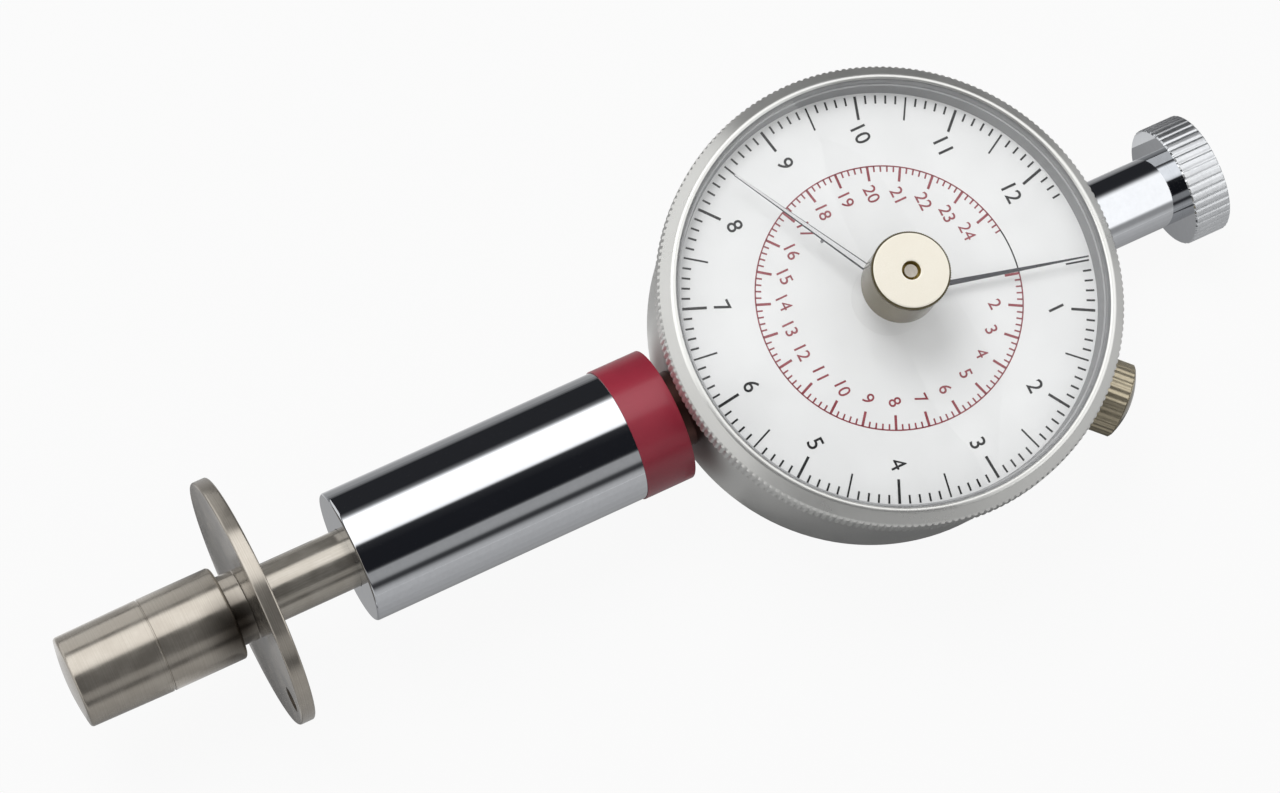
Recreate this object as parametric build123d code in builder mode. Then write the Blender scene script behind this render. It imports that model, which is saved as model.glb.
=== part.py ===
"""Fruit hardness tester: a dial instrument that reads the force needed to press a blunt tip into fruit.

Frame, in millimetres: the tester lies on its back. +Z points out of the dial, +Y runs along the tool
towards the top knob, and the origin is the centre of the back cover's outer face, on the dial's axis.
The tool axis runs along Y at a height of axis_height.
"""
import os
from math import cos, pi, radians, sin, tan

from build123d import *

# Clearances
seat_gap = 0.02
running_gap = 0.05
turning_gap = 0.1
free_gap = 0.3

# Case
case_radius = 25.75
case_wall = 1.15
case_corner = 2.8
lip_thickness = 2.0
lip_width = 6.6
lip_floor = 0.3
cover_thickness = 1.2
cover_lap = 3.2
cover_rounding = 0.3
cover_screw_inset = 1.9
cover_screw_end = 0.2
countersink_depth = 0.7
neck_engagement = 6.0
neck_relief_wall = 1.25
boss_wall = 1.8
boss_length = 3.25

# Barrel and its spring
barrel_radius = 7.88
barrel_wall = 1.58
barrel_length = 40.2
barrel_gap = 1.65
barrel_end_wall = 1.2
barrel_rounding = 0.7
band_length = 6.1
band_thickness = 0.12
bush_length = 2.8
grub_radius = 1.25
grub_depth = 1.5
grub_sink = 0.2
grub_socket_radius = 0.62
grub_socket_depth = 0.6
grub_count = 3
spring_wire = 1.2
spring_turns = 9.5

# Plunger
rod_radius = 3.5
rod_exposed = 11.0
rod_stop_gap = 2.0
stroke = 10.4
rack_rod_radius = 3.3
guide_rod_radius = 2.5
collar_length = 2.5
cross_pin_radius = 0.75
tip_screw_radius = 2.5
tip_screw_length = 12.0
rack_screw_radius = 1.75
rack_screw_length = 7.0
hole_run_out = 0.5
guide_pin_radius = 0.75
guide_pin_lead = 3.8
guide_pin_seat = 2.4
disc_radius = 14.9
disc_thickness = 1.8
disc_rounding = 0.25
disc_hub_radius = 4.2
disc_hub_length = 2.1
drain_hole_radius = 1.3
drain_hole_inset = 2.5
drain_hole_angle = -10.0
tip_radius = 5.55
tip_taper = 0.15
tip_length = 18.9
tip_dome = 0.55
tip_chamfer = 0.7
press_depth = 10.0
depth_line_width = 0.2
depth_line_depth = 0.15

# Rack and pinion
gear_module = 0.3
pressure_angle = 20.0
pinion_teeth = 12
pinion_width = 3.6
rack_gap_count = 17
rack_run_out = 2.0
rack_rear_room = 3.0
tooth_slack = 0.05
arbor_radius = 0.9
pivot_radius = 0.5
pivot_shoulder = 0.2
arbor_collar_radius = 1.3
arbor_collar_length = 0.55

# Movement plates
plate_thickness = 1.2
plate_edge_gap = 1.1
front_plate_edge = 3.0
front_plate_room = 0.7
bush_radius = 1.6
pillar_radius = 1.75
pillar_spigot_radius = 0.9
pillar_circle = 13.0
pillar_count = 4
pillar_start = 45.0
screw_radius = 0.8
screw_head_radius = 1.4
screw_head_height = 0.8
screw_slot_width = 0.4
screw_slot_depth = 0.4
pillar_screw_depth = 2.8
screw_count = 4
plate_screw_start = 45.0

# Hairspring
hairspring_step = 0.4
hairspring_half_turns = 10
hairspring_thickness = 0.15
hairspring_width = 0.6
collet_radius = 1.7
collet_length = 1.0
collet_lift = 0.7
stud_radius = 0.5
stud_height = 1.7

# Bezel, dial and crystal
dial_room = 5.6
bezel_overhang = 1.35
bezel_skirt = 1.0
bezel_edge = 0.15
knurl_rise = 1.4
rim_lip = 0.33
rim_inset = 1.4
rim_width = 0.4
dial_seat = 0.4
dial_cover = 0.55
dial_thickness = 0.6
dial_hole = 2.0
dial_ring_wall = 1.2
dial_ring_flange = 0.4
wire_radius = 0.4
wire_drop = 3.3
crystal_thickness = 0.7
crystal_bulge = 2.45
crystal_flat_radius = 17.0
crystal_flat_drop = 0.55
crystal_edge_rise = 2.8
crystal_seat = 0.5
crystal_grip = 0.3
crystal_rim_depth = 0.65
gasket_thickness = 0.2
crystal_hole = 2.2

# Pointers
pointer_gap = 0.75
pointer_root_width = 0.8
pointer_tip_width = 0.16
pointer_thickness = 0.2
pointer_angle = 13.2
pointer_rise = 1.45
pointer_hub_radius = 1.6
pointer_hub_height = 1.1
drag_gap = 1.95
drag_root_width = 1.1
drag_tip_width = 0.2
drag_angle = 241.6
drag_root_drop = 0.2
drag_tip_lift = 0.45
drag_hub_radius = 1.9
drag_hub_height = 0.55
peg_radius = 0.2
peg_circle = 10.0
peg_gap = 0.2

# Reset knob
reset_knob_radius = 4.57
reset_knob_length = 6.5
reset_knob_rounding = 0.15
reset_bore_radius = 1.1
reset_pin_radius = 0.75
reset_recess_depth = 1.2
reset_web = 0.8
reset_pin_drop = 0.25
arbor_tail = 0.15
bush_flange_radius = 3.2
bush_flange_thickness = 0.33
bush_collar_radius = 3.0
bush_collar_height = 0.1
drag_washer_radius = 2.6
drag_washer_thickness = 0.12

# Lock screw
lock_angle = 45.0
lock_lift = 0.6
lock_thread_radius = 1.5
lock_shoe_length = 0.5
lock_shoe_gap = 0.15
lock_knob_radius = 4.45
lock_boss_radius = 3.2
lock_boss_length = 0.75
lock_knob_gap = 0.6
lock_knob_length = 4.23
lock_knob_dome = 1.1
lock_knob_flutes = 32
lock_flute_depth = 0.2

# Top stem and knob
stem_radius = 4.38
stem_exposed = 10.6
stem_guide_wall = 0.6
stem_guide_length = 6.6
top_knob_radius = 7.35
top_knob_length = 4.75
top_knob_flutes = 45
top_flute_depth = 0.38
top_knob_screw_length = 2.5
knob_washer_thickness = 0.3
knob_chamfer = 0.3
flute_share = 0.8

# Worked-out sizes of the case and the heights of the movement and the dial
bore_radius = case_radius - case_wall
lip_opening = bore_radius - lip_width
lip_top = cover_thickness + lip_thickness
cover_radius = lip_opening + cover_lap
cover_screw_circle = cover_radius - cover_screw_inset
plate_screw_circle = (lip_opening + bore_radius) / 2
plate_screw_depth = lip_thickness - lip_floor
rear_plate_radius = bore_radius - plate_edge_gap
front_plate_radius = pillar_circle + front_plate_edge
plate_top = lip_top + plate_thickness
axis_height = plate_top + free_gap + rack_rod_radius
front_plate_height = axis_height + rack_rod_radius + front_plate_room
front_plate_top = front_plate_height + plate_thickness
dial_height = front_plate_top + dial_room
dial_ring_bottom = axis_height + rack_rod_radius + free_gap
case_top = dial_height - bezel_skirt - turning_gap
wire_height = dial_height - wire_drop
lock_height = dial_ring_bottom + lock_lift
collet_bottom = front_plate_top + collet_lift

# Worked-out places along the tool
barrel_bore = barrel_radius - barrel_wall
barrel_rear = -(case_radius + barrel_gap)
barrel_front = barrel_rear - barrel_length
neck_radius = barrel_bore - running_gap
neck_end = barrel_rear - neck_engagement
neck_relief_radius = rack_rod_radius + running_gap + neck_relief_wall
grub_place = (neck_end + barrel_rear) / 2
grub_bottom = neck_radius - grub_depth
grub_top = barrel_radius - grub_sink
bush_front = barrel_front + barrel_end_wall
bush_rear = bush_front + bush_length
collar_radius = barrel_bore - free_gap
collar_front = bush_rear + turning_gap
collar_rear = collar_front + collar_length
collar_middle = (collar_front + collar_rear) / 2
spring_mean_radius = (rod_radius + barrel_bore) / 2
spring_start = collar_rear + spring_wire / 2
spring_end = neck_end - spring_wire / 2
disc_rear = barrel_front - rod_exposed
disc_front = disc_rear - disc_thickness
tip_rear = disc_front - disc_hub_length
tip_end = tip_rear - tip_length
tip_rear_radius = tip_radius - tip_taper
depth_line = tip_end + press_depth
rod_rear = neck_end - stroke - rod_stop_gap
boss_radius = stem_radius + boss_wall
boss_end = case_radius + boss_length
stem_end = boss_end + stem_exposed
stem_shoulder = bore_radius + running_gap
stem_guide_start = bore_radius - stem_guide_length
stem_guide_radius = guide_rod_radius + stem_guide_wall
knob_face = stem_end + knob_washer_thickness
knob_end = knob_face + top_knob_length
guide_end = knob_face - top_knob_screw_length - stroke - free_gap

# Worked-out sizes of the rack and pinion
pitch_radius = gear_module * pinion_teeth / 2
tooth_pitch = pi * gear_module
flank_slope = tan(radians(pressure_angle))
rack_tip = -(pitch_radius - gear_module + tooth_slack)
rack_root = -(pitch_radius + 1.25 * gear_module)
rack_gap_half = tooth_pitch / 4 + tooth_slack
rack_root_half = rack_gap_half - (-rack_root - pitch_radius) * flank_slope
rack_mouth_half = rack_gap_half + (pitch_radius + rack_tip) * flank_slope
rack_middle = -round(stroke / 2 / tooth_pitch) * tooth_pitch
rack_half = (rack_gap_count - 1) / 2 * tooth_pitch
rack_flat_front = rack_middle - rack_half - rack_run_out
rack_flat_rear = pitch_radius + rack_rear_room
guide_pin_place = rack_flat_front - guide_pin_lead
pinion_root = pitch_radius - 1.25 * gear_module
pinion_tip = pitch_radius + gear_module - tooth_slack
tooth_half = tooth_pitch / 4 - tooth_slack
tooth_root_half = tooth_half + tooth_slack
tooth_tip_half = tooth_half - gear_module * flank_slope
hairspring_inner = collet_radius + hairspring_thickness
hairspring_outer = hairspring_inner + hairspring_half_turns * hairspring_step
stud_place = hairspring_outer + hairspring_thickness / 2 + stud_radius + seat_gap

# Worked-out sizes of the bezel, the crystal, the pointers and the knobs
bezel_radius = case_radius + bezel_overhang
bezel_bottom = dial_height - bezel_skirt
rim_radius = bezel_radius - rim_inset
dial_radius = bore_radius + dial_seat
dial_window = dial_radius - dial_cover
dial_bottom = dial_height - dial_thickness
dial_ring_radius = bore_radius - turning_gap
dial_ring_bore = dial_ring_radius - dial_ring_wall
flange_radius = dial_radius + running_gap
flange_bottom = dial_bottom - dial_ring_flange
cavity_radius = flange_radius + running_gap
crystal_rim_radius = dial_radius + crystal_seat
lip_radius = crystal_rim_radius - crystal_grip
crystal_rim_top = dial_height + crystal_edge_rise
crystal_rim_bottom = crystal_rim_top - crystal_rim_depth
gasket_bottom = crystal_rim_bottom - running_gap - gasket_thickness
groove_bottom = gasket_bottom - running_gap
rim_top = crystal_rim_top + rim_lip
outer_top = crystal_rim_top + crystal_bulge
inner_top = outer_top - crystal_thickness
pointer_height = dial_height + pointer_rise
pointer_reach = dial_window - pointer_gap
arbor_top = pointer_height + pointer_hub_height / 2 + pivot_shoulder
bush_flange_top = inner_top - running_gap
bush_flange_bottom = bush_flange_top - bush_flange_thickness
bush_top = outer_top + bush_collar_height
drag_hub_top = bush_flange_bottom - running_gap - drag_washer_thickness
drag_root = drag_hub_top - drag_root_drop
drag_reach = dial_window - drag_gap
drag_slope = (drag_root - crystal_rim_bottom - drag_tip_lift) / drag_reach
peg_bottom = pointer_height + pointer_thickness / 2 + peg_gap
reset_base = bush_top + running_gap
reset_top = reset_base + reset_knob_length
web_top = reset_top - reset_recess_depth
web_bottom = web_top - reset_web
reset_arbor_radius = reset_bore_radius - running_gap
lock_shoe_end = dial_ring_radius + lock_shoe_gap
shoe_outer = lock_shoe_end + lock_shoe_length
lock_screw_radius = lock_thread_radius - running_gap
lock_boss_end = case_radius + lock_boss_length
lock_knob_face = lock_boss_end + lock_knob_gap
lock_knob_end = lock_knob_face + lock_knob_length
lock_knob_rim = lock_knob_end - lock_knob_dome

# Working planes and axes
BOTTOM = (Align.CENTER, Align.CENTER, Align.MIN)
tool_plane = Plane(origin=(0, 0, axis_height), x_dir=(0, 1, 0), z_dir=(1, 0, 0))
tool_axis = Axis((0, 0, axis_height), (0, 1, 0))
lock_direction = (cos(radians(lock_angle)), sin(radians(lock_angle)), 0)
lock_normal = (lock_direction[1], -lock_direction[0], 0)
lock_plane = Plane(origin=(0, 0, lock_height), x_dir=lock_direction, z_dir=lock_normal)
lock_axis = Axis((0, 0, lock_height), lock_direction)
lock_face_plane = Plane(origin=lock_plane.from_local_coords(Vector(lock_knob_face, 0, 0)), x_dir=(0, 0, 1),
                        z_dir=lock_direction)
knob_face_plane = Plane(origin=(0, knob_face, axis_height), x_dir=(0, 0, 1), z_dir=(0, 1, 0))
disc_face_plane = Plane(origin=(0, disc_front, axis_height), x_dir=(1, 0, 0), z_dir=(0, 1, 0))
collar_plane = Plane(origin=(0, collar_middle, axis_height), x_dir=(0, 1, 0), z_dir=(1, 0, 0))
grub_planes = [
    Plane(origin=(0, grub_place, axis_height), x_dir=(0, 1, 0), z_dir=(sin(grub_turn), 0, cos(grub_turn)))
    for grub_turn in (2 * pi * grub / grub_count for grub in range(grub_count))
]


def turn(plane, axis, points, mode=Mode.ADD):
    """Revolve a closed outline into the part that is being built."""
    with BuildSketch(plane) as outline:
        Polygon(*points)
    revolve(outline.sketch, axis=axis, mode=mode)


def tool_cylinder(start, end, radius, mode=Mode.ADD):
    """A cylinder on the tool axis from one place along Y to another."""
    turn(tool_plane, tool_axis, [(start, 0), (end, 0), (end, radius), (start, radius)], mode)


def upright(bottom, top, radius, mode=Mode.ADD):
    """A cylinder along Z at the current locations, between two heights."""
    with Locations((0, 0, bottom)):
        Cylinder(radius, top - bottom, align=BOTTOM, mode=mode)


def pointer_plane(angle, height, slope=0.0):
    """A plane whose local Y points along a pointer, clockwise from the top, falling by a slope."""
    heading = radians(angle)
    across = (cos(heading), -sin(heading), 0)
    up = (sin(heading) * slope, cos(heading) * slope, 1)
    return Plane(origin=(0, 0, height), x_dir=across, z_dir=up)


def blade(plane, reach, root_width, tip_width):
    """A tapered pointer blade from the dial's axis, centred on the plane."""
    with BuildSketch(plane) as outline:
        Polygon((-root_width / 2, 0), (root_width / 2, 0), (tip_width / 2, reach), (-tip_width / 2, reach))
    extrude(outline.sketch, amount=pointer_thickness / 2, both=True)


def screws(circle, count, start_angle, head_bottom, shank_bottom):
    """Cheese-head screws standing along Z, with a slot across each head."""
    with PolarLocations(circle, count, start_angle=start_angle):
        upright(shank_bottom, head_bottom, screw_radius - seat_gap)
        upright(head_bottom, head_bottom + screw_head_height, screw_head_radius)
        with Locations((0, 0, head_bottom + screw_head_height)):
            Box(2 * screw_head_radius, screw_slot_width, 2 * screw_slot_depth, mode=Mode.SUBTRACT)


def flutes(plane, radius, depth, count, length):
    """Straight V flutes cut along the rim of a knob; the plane is the knob's first face."""
    half_width = pi * radius / count * flute_share
    with BuildSketch(plane) as teeth:
        with PolarLocations(radius, count):
            Polygon((depth, -half_width), (depth, half_width), (-depth, 0))
    extrude(teeth.sketch, amount=length, mode=Mode.SUBTRACT)


# Gauge case: a cast shell with a neck for the barrel and a boss for the top stem
with BuildPart() as gauge_case:
    Cylinder(case_radius, case_top, align=BOTTOM)
    fillet(gauge_case.faces().sort_by(Axis.Z)[0].edges(), case_corner)
    tool_cylinder(neck_end, barrel_rear, neck_radius)
    tool_cylinder(neck_end, -bore_radius, neck_relief_radius)
    tool_cylinder(bore_radius, boss_end, boss_radius)
    turn(lock_plane, lock_axis, [(bore_radius, 0), (lock_boss_end, 0), (lock_boss_end, lock_boss_radius),
                                 (bore_radius, lock_boss_radius)])
    upright(lip_top, case_top, bore_radius, Mode.SUBTRACT)
    upright(0, lip_top, lip_opening, Mode.SUBTRACT)
    upright(0, cover_thickness, cover_radius + running_gap, Mode.SUBTRACT)
    tool_cylinder(neck_end, 0, rack_rod_radius + running_gap, Mode.SUBTRACT)
    tool_cylinder(0, boss_end, stem_radius + seat_gap, Mode.SUBTRACT)
    turn(lock_plane, lock_axis, [(0, 0), (lock_knob_face, 0), (lock_knob_face, lock_thread_radius),
                                 (0, lock_thread_radius)], Mode.SUBTRACT)
    with Locations((0, 0, wire_height)):
        Torus(bore_radius, wire_radius + turning_gap, mode=Mode.SUBTRACT)
    with PolarLocations(cover_screw_circle, screw_count):
        upright(cover_thickness, lip_top, screw_radius, Mode.SUBTRACT)
    with PolarLocations(plate_screw_circle, screw_count, start_angle=plate_screw_start):
        upright(lip_top - plate_screw_depth, lip_top, screw_radius, Mode.SUBTRACT)
    for grub_plane in grub_planes:
        with BuildSketch(grub_plane.offset(grub_bottom - seat_gap)):
            Circle(grub_radius + seat_gap)
        extrude(amount=barrel_radius - grub_bottom, mode=Mode.SUBTRACT)
gauge_case.part.label = "gauge_case"

# Back cover, let into the back of the case and held by countersunk screws
with BuildPart() as back_cover:
    Cylinder(cover_radius, cover_thickness, align=BOTTOM)
    fillet(back_cover.faces().sort_by(Axis.Z)[0].edges(), cover_rounding)
    with PolarLocations(cover_screw_circle, screw_count):
        Cone(screw_head_radius + running_gap, screw_radius + running_gap, countersink_depth, align=BOTTOM,
             mode=Mode.SUBTRACT)
        upright(0, cover_thickness, screw_radius + running_gap, Mode.SUBTRACT)
back_cover.part.label = "back_cover"

with BuildPart() as back_cover_screws:
    with PolarLocations(cover_screw_circle, screw_count):
        with Locations((0, 0, running_gap)):
            Cone(screw_head_radius, screw_radius - seat_gap, countersink_depth, align=BOTTOM)
        upright(countersink_depth, lip_top - cover_screw_end, screw_radius - seat_gap)
        Box(2 * screw_head_radius, screw_slot_width, 2 * screw_slot_depth, mode=Mode.SUBTRACT)
back_cover_screws.part.label = "back_cover_screws"

# Barrel: a closed-end tube over the case's neck
with BuildPart() as barrel:
    tool_cylinder(barrel_front, barrel_rear, barrel_radius)
    fillet(barrel.faces().sort_by(Axis.Y)[0].edges(), barrel_rounding)
    tool_cylinder(bush_front, barrel_rear, barrel_bore, Mode.SUBTRACT)
    tool_cylinder(barrel_front, bush_front, rod_radius + 2 * turning_gap, Mode.SUBTRACT)
    for grub_plane in grub_planes:
        with BuildSketch(grub_plane):
            Circle(grub_radius + seat_gap)
        extrude(amount=2 * barrel_radius, mode=Mode.SUBTRACT)
barrel.part.label = "barrel"

with BuildPart() as barrel_grub_screws:
    for grub_plane in grub_planes:
        with BuildSketch(grub_plane.offset(grub_bottom)):
            Circle(grub_radius)
        extrude(amount=grub_top - grub_bottom)
        with BuildSketch(grub_plane.offset(grub_top - grub_socket_depth)):
            RegularPolygon(grub_socket_radius, 6)
        extrude(amount=grub_socket_depth, mode=Mode.SUBTRACT)
barrel_grub_screws.part.label = "barrel_grub_screws"

# Red band: a thin sleeve round the rear end of the barrel, over the grub screws
with BuildPart() as red_band:
    tool_cylinder(barrel_rear - band_length, barrel_rear, barrel_radius + seat_gap + band_thickness)
    tool_cylinder(barrel_rear - band_length, barrel_rear, barrel_radius + seat_gap, Mode.SUBTRACT)
red_band.part.label = "red_band"

with BuildPart() as front_bush:
    tool_cylinder(bush_front, bush_rear, barrel_bore - seat_gap)
    tool_cylinder(bush_front, bush_rear, rod_radius + running_gap, Mode.SUBTRACT)
front_bush.part.label = "front_bush"

# Main spring between the plunger's collar and the neck of the case
with BuildPart() as main_spring:
    with BuildLine() as coil:
        Helix(pitch=(spring_end - spring_start) / spring_turns, height=spring_end - spring_start,
              radius=spring_mean_radius, center=(0, spring_start, axis_height), direction=(0, 1, 0))
    with BuildSketch(Plane(origin=coil.line @ 0, z_dir=coil.line % 0)):
        Circle(spring_wire / 2)
    sweep(path=coil.line, is_frenet=True)
main_spring.part.label = "main_spring"

# Top stem, its knob and the washer under the knob
with BuildPart() as top_stem:
    tool_cylinder(stem_shoulder, stem_end, stem_radius)
    tool_cylinder(stem_guide_start, stem_shoulder, stem_guide_radius)
    tool_cylinder(stem_guide_start, stem_end, guide_rod_radius + running_gap, Mode.SUBTRACT)
top_stem.part.label = "top_stem"

with BuildPart() as knob_washer:
    tool_cylinder(stem_end, knob_face, stem_radius - turning_gap)
    tool_cylinder(stem_end, knob_face, guide_rod_radius + running_gap, Mode.SUBTRACT)
knob_washer.part.label = "knob_washer"

with BuildPart() as top_knob:
    turn(tool_plane, tool_axis, [
        (knob_face, 0), (knob_face, top_knob_radius - knob_chamfer),
        (knob_face + knob_chamfer, top_knob_radius), (knob_end - knob_chamfer, top_knob_radius),
        (knob_end, top_knob_radius - knob_chamfer), (knob_end, 0)])
    flutes(knob_face_plane, top_knob_radius, top_flute_depth, top_knob_flutes, top_knob_length)
    tool_cylinder(knob_face - top_knob_screw_length, knob_face, guide_rod_radius)
top_knob.part.label = "top_knob"

# Plunger: rod, collar with its cross pin, rack rod, guide pin, guard disc and indenter tip
with BuildPart() as plunger_rod:
    tool_cylinder(disc_rear, rod_rear, rod_radius)
    tool_cylinder(tip_rear - tip_screw_length, disc_rear, tip_screw_radius)
    tool_cylinder(rod_rear - rack_screw_length - hole_run_out, rod_rear, rack_screw_radius + seat_gap,
                  Mode.SUBTRACT)
    with BuildSketch(collar_plane):
        Circle(cross_pin_radius + seat_gap)
    extrude(amount=2 * rod_radius, both=True, mode=Mode.SUBTRACT)
plunger_rod.part.label = "plunger_rod"

with BuildPart() as spring_collar:
    tool_cylinder(collar_front, collar_rear, collar_radius)
    tool_cylinder(collar_front, collar_rear, rod_radius + seat_gap, Mode.SUBTRACT)
    with BuildSketch(collar_plane):
        Circle(cross_pin_radius + seat_gap)
    extrude(amount=2 * collar_radius, both=True, mode=Mode.SUBTRACT)
spring_collar.part.label = "spring_collar"

with BuildPart() as collar_pin:
    with BuildSketch(collar_plane):
        Circle(cross_pin_radius)
    extrude(amount=collar_radius - free_gap, both=True)
collar_pin.part.label = "collar_pin"

with BuildPart() as rack_rod:
    tool_cylinder(rod_rear, rack_flat_rear, rack_rod_radius)
    tool_cylinder(rod_rear - rack_screw_length, rod_rear, rack_screw_radius)
    tool_cylinder(rack_flat_rear, guide_end, guide_rod_radius)
    with BuildSketch(Plane.XY):
        Polygon((rack_tip, rack_flat_front), (2 * rack_rod_radius, rack_flat_front),
                (2 * rack_rod_radius, rack_flat_rear), (rack_tip, rack_flat_rear))
    extrude(amount=dial_height, mode=Mode.SUBTRACT)
    with BuildSketch(Plane.XY):
        with Locations((0, rack_middle)):
            with GridLocations(0, tooth_pitch, 1, rack_gap_count):
                Polygon((rack_root, -rack_root_half), (rack_tip, -rack_mouth_half), (0, -rack_mouth_half),
                        (0, rack_mouth_half), (rack_tip, rack_mouth_half), (rack_root, rack_root_half))
    extrude(amount=dial_height, mode=Mode.SUBTRACT)
    with Locations((0, guide_pin_place)):
        upright(0, axis_height - rack_rod_radius + guide_pin_seat + running_gap, guide_pin_radius + seat_gap,
                Mode.SUBTRACT)
rack_rod.part.label = "rack_rod"

with BuildPart() as guide_pin:
    with Locations((0, guide_pin_place)):
        upright(lip_top + free_gap, axis_height - rack_rod_radius + guide_pin_seat, guide_pin_radius)
guide_pin.part.label = "guide_pin"

with BuildPart() as guard_disc:
    tool_cylinder(disc_front, disc_rear, disc_radius)
    fillet(guard_disc.edges().filter_by(GeomType.CIRCLE), disc_rounding)
    tool_cylinder(tip_rear, disc_front, disc_hub_radius)
    tool_cylinder(tip_rear, disc_rear, tip_screw_radius + seat_gap, Mode.SUBTRACT)
    with BuildSketch(disc_face_plane):
        with PolarLocations(disc_radius - drain_hole_inset, 1, start_angle=drain_hole_angle):
            Circle(drain_hole_radius)
    extrude(amount=disc_thickness, mode=Mode.SUBTRACT)
guard_disc.part.label = "guard_disc"

with BuildPart() as indenter_tip:
    with BuildSketch(tool_plane):
        with BuildLine():
            TangentArc((tip_end - tip_dome, 0), (tip_end, tip_radius), tangent=(0, 1))
            Polyline((tip_end, tip_radius), (depth_line - depth_line_width / 2, tip_radius),
                     (depth_line, tip_radius - depth_line_depth),
                     (depth_line + depth_line_width / 2, tip_radius),
                     (tip_rear - tip_chamfer, tip_rear_radius), (tip_rear, tip_rear_radius - tip_chamfer),
                     (tip_rear, 0), (tip_end - tip_dome, 0))
        make_face()
    revolve(axis=tool_axis)
    tool_cylinder(tip_rear - tip_screw_length - hole_run_out, tip_rear, tip_screw_radius + seat_gap,
                  Mode.SUBTRACT)
indenter_tip.part.label = "indenter_tip"

# Movement plates, pillars, bushes and screws
with BuildPart() as rear_plate:
    upright(lip_top, plate_top, rear_plate_radius)
    upright(lip_top, plate_top, bush_radius, Mode.SUBTRACT)
    with PolarLocations(pillar_circle, pillar_count, start_angle=pillar_start):
        upright(lip_top, plate_top, pillar_spigot_radius + seat_gap, Mode.SUBTRACT)
    with PolarLocations(plate_screw_circle, screw_count, start_angle=plate_screw_start):
        upright(lip_top, plate_top, screw_radius + running_gap, Mode.SUBTRACT)
    with BuildSketch(Plane.XY.offset(lip_top)):
        with Locations((0, guide_pin_place + stroke / 2)):
            SlotCenterToCenter(stroke + 2 * turning_gap, 2 * (guide_pin_radius + turning_gap), rotation=90)
    extrude(amount=plate_thickness, mode=Mode.SUBTRACT)
rear_plate.part.label = "rear_plate"

with BuildPart() as rear_plate_screws:
    screws(plate_screw_circle, screw_count, plate_screw_start, plate_top,
           lip_top - plate_screw_depth + turning_gap)
rear_plate_screws.part.label = "rear_plate_screws"

with BuildPart() as plate_pillars:
    with PolarLocations(pillar_circle, pillar_count, start_angle=pillar_start):
        upright(plate_top, front_plate_height, pillar_radius)
        upright(lip_top, plate_top, pillar_spigot_radius)
        upright(front_plate_height - pillar_screw_depth - turning_gap, front_plate_height, screw_radius,
                Mode.SUBTRACT)
plate_pillars.part.label = "plate_pillars"

with BuildPart() as front_plate:
    upright(front_plate_height, front_plate_top, front_plate_radius)
    upright(front_plate_height, front_plate_top, bush_radius, Mode.SUBTRACT)
    with PolarLocations(pillar_circle, pillar_count, start_angle=pillar_start):
        upright(front_plate_height, front_plate_top, screw_radius + running_gap, Mode.SUBTRACT)
front_plate.part.label = "front_plate"

with BuildPart() as front_plate_screws:
    screws(pillar_circle, pillar_count, pillar_start, front_plate_top,
           front_plate_height - pillar_screw_depth)
front_plate_screws.part.label = "front_plate_screws"

with BuildPart() as arbor_bushes:
    upright(lip_top, plate_top, bush_radius - seat_gap)
    upright(lip_top, plate_top, pivot_radius + running_gap, Mode.SUBTRACT)
    upright(front_plate_height, front_plate_top, bush_radius - seat_gap)
    upright(front_plate_height, front_plate_top, arbor_radius + running_gap, Mode.SUBTRACT)
arbor_bushes.part.label = "arbor_bushes"

# Pinion arbor, hairspring and the pointer that shows the force
with BuildPart() as pinion_arbor:
    upright(lip_top + turning_gap, plate_top + pivot_shoulder, pivot_radius)
    upright(plate_top + pivot_shoulder, arbor_top, arbor_radius)
    upright(front_plate_height - turning_gap - arbor_collar_length, front_plate_height - turning_gap,
            arbor_collar_radius)
    upright(axis_height - pinion_width / 2, axis_height + pinion_width / 2, pinion_root)
    with BuildSketch(Plane.XY.offset(axis_height - pinion_width / 2)):
        with PolarLocations(0, pinion_teeth, start_angle=180):
            Polygon((pinion_root / 2, -tooth_root_half), (pinion_root, -tooth_root_half),
                    (pitch_radius, -tooth_half), (pinion_tip, -tooth_tip_half),
                    (pinion_tip, tooth_tip_half), (pitch_radius, tooth_half),
                    (pinion_root, tooth_root_half), (pinion_root / 2, tooth_root_half))
    extrude(amount=pinion_width)
pinion_arbor.part.label = "pinion_arbor"

with BuildPart() as hairspring_collet:
    upright(collet_bottom, collet_bottom + collet_length, collet_radius)
    upright(collet_bottom, collet_bottom + collet_length, arbor_radius + seat_gap, Mode.SUBTRACT)
hairspring_collet.part.label = "hairspring_collet"

with BuildPart() as hairspring:
    with BuildSketch(Plane.XY.offset(collet_bottom + (collet_length - hairspring_width) / 2)):
        with BuildLine():
            for half_turn in range(hairspring_half_turns):
                side = 1 if half_turn % 2 == 0 else -1
                start = side * (hairspring_inner + half_turn * hairspring_step)
                end = -side * (hairspring_inner + (half_turn + 1) * hairspring_step)
                ThreePointArc((start, 0), ((start + end) / 2, side * abs(start - end) / 2), (end, 0))
        trace(line_width=hairspring_thickness)
    extrude(amount=hairspring_width)
hairspring.part.label = "hairspring"

with BuildPart() as hairspring_stud:
    with Locations((stud_place, 0)):
        upright(front_plate_top, front_plate_top + stud_height, stud_radius)
hairspring_stud.part.label = "hairspring_stud"

with BuildPart() as active_pointer:
    upright(pointer_height - pointer_hub_height / 2, pointer_height + pointer_hub_height / 2,
            pointer_hub_radius)
    blade(pointer_plane(pointer_angle, pointer_height), pointer_reach, pointer_root_width, pointer_tip_width)
    upright(dial_height, arbor_top, arbor_radius + seat_gap, Mode.SUBTRACT)
active_pointer.part.label = "active_pointer"

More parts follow.
